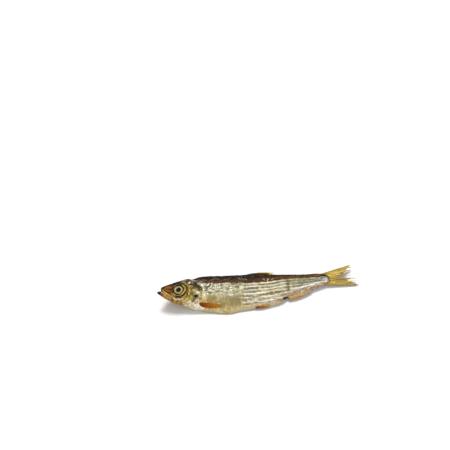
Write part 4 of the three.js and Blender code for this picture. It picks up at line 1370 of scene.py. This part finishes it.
for i in range(PECTORAL_RAYS):
    for side in (1, -1):
        k = np.linspace(0, 1, 24)
        ray_s = mix(21.0, 32.6 - 0.5 * (i % 3), k)
        w = (i + 0.5) / PECTORAL_RAYS
        ray_d = mix(pectoral_lower(ray_s), pectoral_upper(ray_s), w)
        bed = np.maximum(skin(ray_s, ray_d), LEAF_BED)
        ray_t = side * (bed + LEAF_PROUD * (0.45 + 0.55 * np.sin(np.pi * w)))
        pectoral_paths.append(np.stack([ray_s, ray_d, ray_t, mix(0.14, 0.07, k)], -1))
amber_ray = ray_finish(
    "amber_ray", (0.26, 0.045, 0.004, 1), (0.56, 0.25, 0.03, 1), (0.2, 0.035, 0.004, 1)
)
pectoral_rays = swept_rays("pectoral_rays", pectoral_paths, amber_ray)
for piece in (pectorals, pectoral_rays):
    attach(piece, "root")
    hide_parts("sprat")

# ------------------------------------------------------------------ pelvic fins
# The small pelvic fins have dried flat against the keel, dark red in front and amber
# behind.

PELVIC_RAYS = 5
pelvic_upper = line_through((49.9, -13.3), (51.5, -12.9), (54, -12.5), (56.5, -12.2), (58, -12.3))
pelvic_lower = line_through((49.9, -13.6), (53.4, -13.7), (56, -13.2), (58, -12.7))
pelvic_place, pelvic_faces = both_sides(
    *leaf(pelvic_upper, pelvic_lower, 49.9, 57.9, LEAF_PROUD, 60, 44, PELVIC_RAYS, 161)
)
vs, vd = pelvic_place.T[:2]
pelvic_tint = stained(
    (0.74, 0.40, 0.10), vs, vd,
    ("rust", 50.8, -13.5, 1.8, 0.5, 0.1, 0.9),
    ("butter", 53.6, -12.6, 2.4, 0.3, 0.1, 0.95),
    ("orange", 54.6, -13.3, 2.6, 0.35, 0.1, 0.95),
    ("yellow", 57.2, -12.5, 1.2, 0.5, 0.1, 0.8),
)
pelvics = fish_piece("pelvic_fins", pelvic_place, pelvic_faces, amber_web, tint=pelvic_tint)
pelvic_paths = []
for i in range(PELVIC_RAYS):
    for side in (1, -1):
        k = np.linspace(0, 1, 16)
        ray_s = mix(50.0, 57.8 - 0.3 * (i % 2), k)
        ray_d = mix(pelvic_lower(ray_s), pelvic_upper(ray_s), (i + 0.5) / PELVIC_RAYS)
        ray_t = side * (np.maximum(skin(ray_s, ray_d), LEAF_BED) + 0.24)
        pelvic_paths.append(np.stack([ray_s, ray_d, ray_t, mix(0.12, 0.06, k)], -1))
pelvic_rays = swept_rays("pelvic_rays", pelvic_paths, amber_ray)
for piece in (pelvics, pelvic_rays):
    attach(piece, "root")
    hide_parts("sprat")

# ------------------------------------------------------------------ dorsal fin
# The back's fin has folded down along the back as it dried. Its web is dark at the root
# and amber at the edge, and its tip stands free behind.

WEB = 0.24  # thickness of a dried web at its root
DORSAL_RAYS = 13
dorsal_top = line_through((45.3, 5.6), (47.5, 6.4), (52, 6.95), (56.5, 6.85), (61.2, 6.35))
dorsal_low = line_through((45.3, 5.3), (52, 5.2), (58.5, 4.7), (60.2, 5.6), (61.2, 6.2))


def mid_web(s, d, thickness, seed):
    """A closed thin web in the fish's middle plane from grids of s and d, puckered a little."""
    pucker = 0.10 * dapple(s / 2.2, d / 0.7, seed) + 0.05 * dapple(s / 0.8, d / 0.4, seed + 1)
    return thin_shell(
        np.stack([s, d, pucker + thickness / 2], -1), np.stack([s, d, pucker - thickness / 2], -1)
    )


k, w = np.meshgrid(np.linspace(0, 1, 130), np.linspace(0, 1, 14), indexing="ij")
dorsal_s = mix(45.3, 61.2, k)
dorsal_fray = 0.14 * dapple(dorsal_s / 0.5, 0 * w, 171) * w**3
dorsal_d = mix(dorsal_low(dorsal_s), dorsal_top(dorsal_s), w) + dorsal_fray
dorsal_place, dorsal_faces = mid_web(dorsal_s, dorsal_d, WEB * (1.3 - 0.7 * w), 172)
ds, dd = dorsal_place.T[:2]
dorsal_edge = dorsal_top(ds) - dd
dorsal_tint = toned(
    TONE["ink"],
    (0.8 * ramp(ds, 46, 52), "brown"),
    ((1 - ramp(dorsal_edge, 0.12, 0.4)) * ramp(ds, 50.5, 53), "yellow"),
    (ramp(ds, 58.0, 59.6), "yellow"),
)
dark_web = web_finish("dark_fin", (0.04, 0.02, 0.01, 1))
dorsal = fish_piece("dorsal_fin", dorsal_place, dorsal_faces, dark_web, tint=dorsal_tint)
dorsal_paths = []
for i in range(DORSAL_RAYS):
    k = np.linspace(0, 1, 12)
    root_s = 46.2 + 0.85 * i
    ray_s = root_s + 4.6 * k
    ray_d = mix(back_line(root_s) - 0.5, dorsal_top(np.minimum(ray_s, 61.0)) - 0.04, k**0.6)
    dorsal_paths.append(np.stack([ray_s, ray_d, 0.05 * np.sin(5 * k + i), mix(0.17, 0.07, k)], -1))
dark_ray = ray_finish(
    "dark_ray", (0.05, 0.025, 0.012, 1), (0.42, 0.27, 0.07, 1), (0.03, 0.02, 0.01, 1)
)
dorsal_rays = swept_rays("dorsal_rays", dorsal_paths, dark_ray)
for piece in (dorsal, dorsal_rays):
    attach(piece, "root")
    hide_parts("sprat")

# ------------------------------------------------------------------ anal fin
# A low golden strip runs from the vent to the stalk of the tail, with many short rays
# that lean back.

ANAL_FROM, ANAL_TO, ANAL_RAYS = 67.4, 80.2, 19
anal_depth = line_through((67.4, 0.4), (68.6, 1.5), (74, 1.6), (77.5, 1.3), (80.2, 0.6))
k, w = np.meshgrid(np.linspace(0, 1, 150), np.linspace(0, 1, 14), indexing="ij")
anal_s = mix(ANAL_FROM, ANAL_TO, k)
anal_fray = 0.16 * dapple(anal_s / 0.45, 0 * w, 181) * w**2
anal_d = belly_line(anal_s) + 0.7 - (anal_depth(anal_s) + 0.7) * w + anal_fray
anal_place, anal_faces = mid_web(anal_s, anal_d, WEB * (1.5 - 0.9 * w), 182)
ns, nd = anal_place.T[:2]
anal_out = belly_line(ns) - nd
anal_tint = toned(
    TONE["gold"],
    (0.8 * (1 - ramp(anal_out, 0.2, 0.8)), "pink"),
    (0.5 * ramp(anal_out, 0.7, 1.1) * ramp(ns, 71, 76), "yellow"),
    (0.5 * ramp(dapple(ns / 0.8, nd / 0.5, 185), 0, 0.6), "orange"),
    (0.6 * (1 - ramp(ns, 67.6, 69)), "brown"),
)
gold_web = web_finish("golden_fin", (0.26, 0.13, 0.03, 1))
anal = fish_piece("anal_fin", anal_place, anal_faces, gold_web, tint=anal_tint)
anal_paths = []
for i in range(ANAL_RAYS):
    k = np.linspace(0, 1, 10)
    root_s = mix(ANAL_FROM + 0.3, ANAL_TO - 1.2, i / (ANAL_RAYS - 1))
    ray_s = root_s + 1.3 * k
    ray_d = belly_line(ray_s) + 0.4 - (anal_depth(ray_s) + 0.34) * k
    sway = 0.04 * np.sin(4 * k + 2 * i)
    anal_paths.append(np.stack([ray_s, ray_d, sway, mix(0.15, 0.07, k)], -1))
gold_ray = ray_finish(
    "golden_ray", (0.42, 0.25, 0.12, 1), (0.50, 0.31, 0.05, 1), (0.22, 0.10, 0.03, 1)
)
anal_rays = swept_rays("anal_rays", anal_paths, gold_ray, 0.5, 0.15)
for piece in (anal, anal_rays):
    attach(piece, "root")
    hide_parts("sprat")

# ------------------------------------------------------------------ tail fin
# The tail's two lobes are amber skin between long rays, torn into prongs. The rays fork
# and end in grey frayed tips.

tail_root = line_through((-2.9, 86.6), (0.3, 89.6), (3.7, 85.8))
UPPER_LOBE = [  # each ray: height of its root, place of its tip, and how far the web follows it
    (3.6, 102.4, 7.7, 1.0), (3.1, 102.5, 6.5, 1.0),
    (2.7, 100.0, 5.5, 0.98), (2.3, 102.2, 4.7, 0.95),
    (1.9, 99.0, 3.8, 0.96), (1.5, 101.5, 3.0, 0.93), (1.1, 97.3, 2.0, 0.95), (0.7, 94.7, 0.8, 0.96),
]
LOWER_LOBE = [
    (0.3, 104.3, -0.3, 0.96), (-0.3, 100.0, -1.3, 0.96), (-0.8, 102.2, -1.9, 0.97),
    (-1.3, 104.2, -3.0, 0.98), (-1.9, 105.5, -4.1, 1.0), (-2.6, 104.6, -4.5, 0.98),
]
TAIL_NOTCH = 0.08  # how much further the web is torn back between two rays
WEB_STRIPS = 8  # strips of web between two neighbouring rays


def tail_point(lobe, w, share):
    """Place on a lobe: w counts the rays, and the share runs from root to tip."""
    root, tip_s, tip_d, reach = (np.interp(w, range(len(lobe)), c) for c in zip(*lobe))
    start_s, start_d = tail_root(root) - 1.9, 0.82 * root
    return mix(start_s, tip_s, share), mix(start_d, tip_d, share)


def tail_web(lobe, seed):
    w = np.linspace(0, len(lobe) - 1, WEB_STRIPS * (len(lobe) - 1) + 1)
    reach = np.interp(w, range(len(lobe)), [ray[3] for ray in lobe])
    gap = np.sin(np.pi * (w - np.floor(w))) ** 0.7
    reach = reach - TAIL_NOTCH * gap * (1 + 0.6 * dapple(w * 1.3, 0 * w, seed))
    reach += 0.02 * dapple(w * 4, 0 * w, seed + 1)
    k, w = np.meshgrid(np.linspace(0, 1, 72), w, indexing="ij")
    share = k * reach[None, :]
    s, d = tail_point(lobe, w, share)
    return mid_web(s, d, WEB * (1.25 - 0.95 * k), seed + 2)


def tail_tint(s, d):
    tint = np.tile((0.62, 0.44, 0.075), (len(s), 1))
    tint = tint * (1 + 0.3 * dapple(s / 2.5, d / 0.3, 195))[:, None]
    return stained(
        tint, s, d,
        ("yellow", 92, 3.2, 5, 1.4, 0.26, 0.9),
        ("yellow", 96.5, 4.6, 3, 0.6, 0.2, 0.7),
        ("golden_olive", 96, 6.4, 4.5, 0.35, 0.27, 0.6),
        ("brown", 101.2, 7.3, 0.9, 0.5, 0.2, 0.7),
        ("golden_olive", 100.5, 6.2, 1.6, 0.3, 0.1, 0.6),
        ("smoke", 100.8, 4.7, 1.6, 0.5, 0, 0.9),
        ("smoke", 100.2, 3.1, 1.4, 0.5, 0, 0.9),
        ("brown", 97.4, 3.2, 1, 0.5, 0.2, 0.8),
        ("cream", 94.4, 2.2, 1.8, 0.5, 0.3, 0.5),
        ("smoke", 102.6, -0.3, 2.4, 0.4, 0, 0.9),
        ("brown", 94, -0.8, 6, 0.6, 0.03, 0.95),
        ("golden_olive", 98, -2.4, 6, 0.4, -0.1, 0.7),
        ("golden_olive", 97, -1.2, 6, 0.8, 0, 0.95),
        ("umber", 96, -1.6, 4, 0.25, -0.05, 0.8),
        ("brown", 97, -0.5, 3, 0.25, 0, 0.5),
        ("gold", 99.5, -2.8, 5, 0.6, -0.2, 0.8),
        ("orange", 89.2, -2.7, 1.8, 0.7, 0, 0.9),
        ("yellow", 94, -3.3, 4.5, 0.5, -0.1, 0.8),
        ("golden_olive", 102.5, -3.6, 2.6, 0.5, -0.2, 0.6),
        ("brown", 87, 3.8, 2.6, 0.9, 0.25, 0.9),
    )


tail_pieces = []
for name, lobe, seed in (
    ("tail_upper_lobe", UPPER_LOBE, 191),
    ("tail_lower_lobe", LOWER_LOBE, 201),
):
    place, faces = tail_web(lobe, seed)
    tail_pieces.append(
        fish_piece(name, place, faces, gold_web, tint=tail_tint(place[:, 0], place[:, 1]))
    )
    paths = []
    for i in range(len(lobe)):
        k = np.linspace(0, 1, 40)
        ray_s, ray_d = tail_point(lobe, i + 0 * k, k)
        wave = 0.08 * np.sin(3 * k + i)
        paths.append(np.stack([ray_s, ray_d, wave, mix(0.22, 0.16, k)], -1))
    for w in np.arange(1 / 3, len(lobe) - 1, 1 / 3):
        if abs(w - round(w)) < 0.1:
            continue
        k = np.linspace(0, 1, 32)
        near = mix(round(w), w, ramp(k, 0.1, 0.6))
        reach = min(lobe[int(w)][3], lobe[int(w) + 1][3]) - 0.03
        ray_s, ray_d = tail_point(lobe, near, k * reach)
        paths.append(np.stack([ray_s, ray_d, 0.06 * np.sin(4 * k + 3 * w), mix(0.13, 0.06, k)], -1))
    tail_ray = ray_finish(
        name + "_ray", (0.52, 0.34, 0.055, 1), (0.40, 0.31, 0.11, 1), (0.28, 0.16, 0.025, 1)
    )
    tail_pieces.append(swept_rays(name + "_rays", paths, tail_ray, 0.7, 0.15))
for piece in tail_pieces:
    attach(piece, "root")
    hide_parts("sprat")

# ------------------------------------------------------------------ size and finish
size = {"cad": solid_box, "visual": [list(corner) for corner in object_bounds()]}
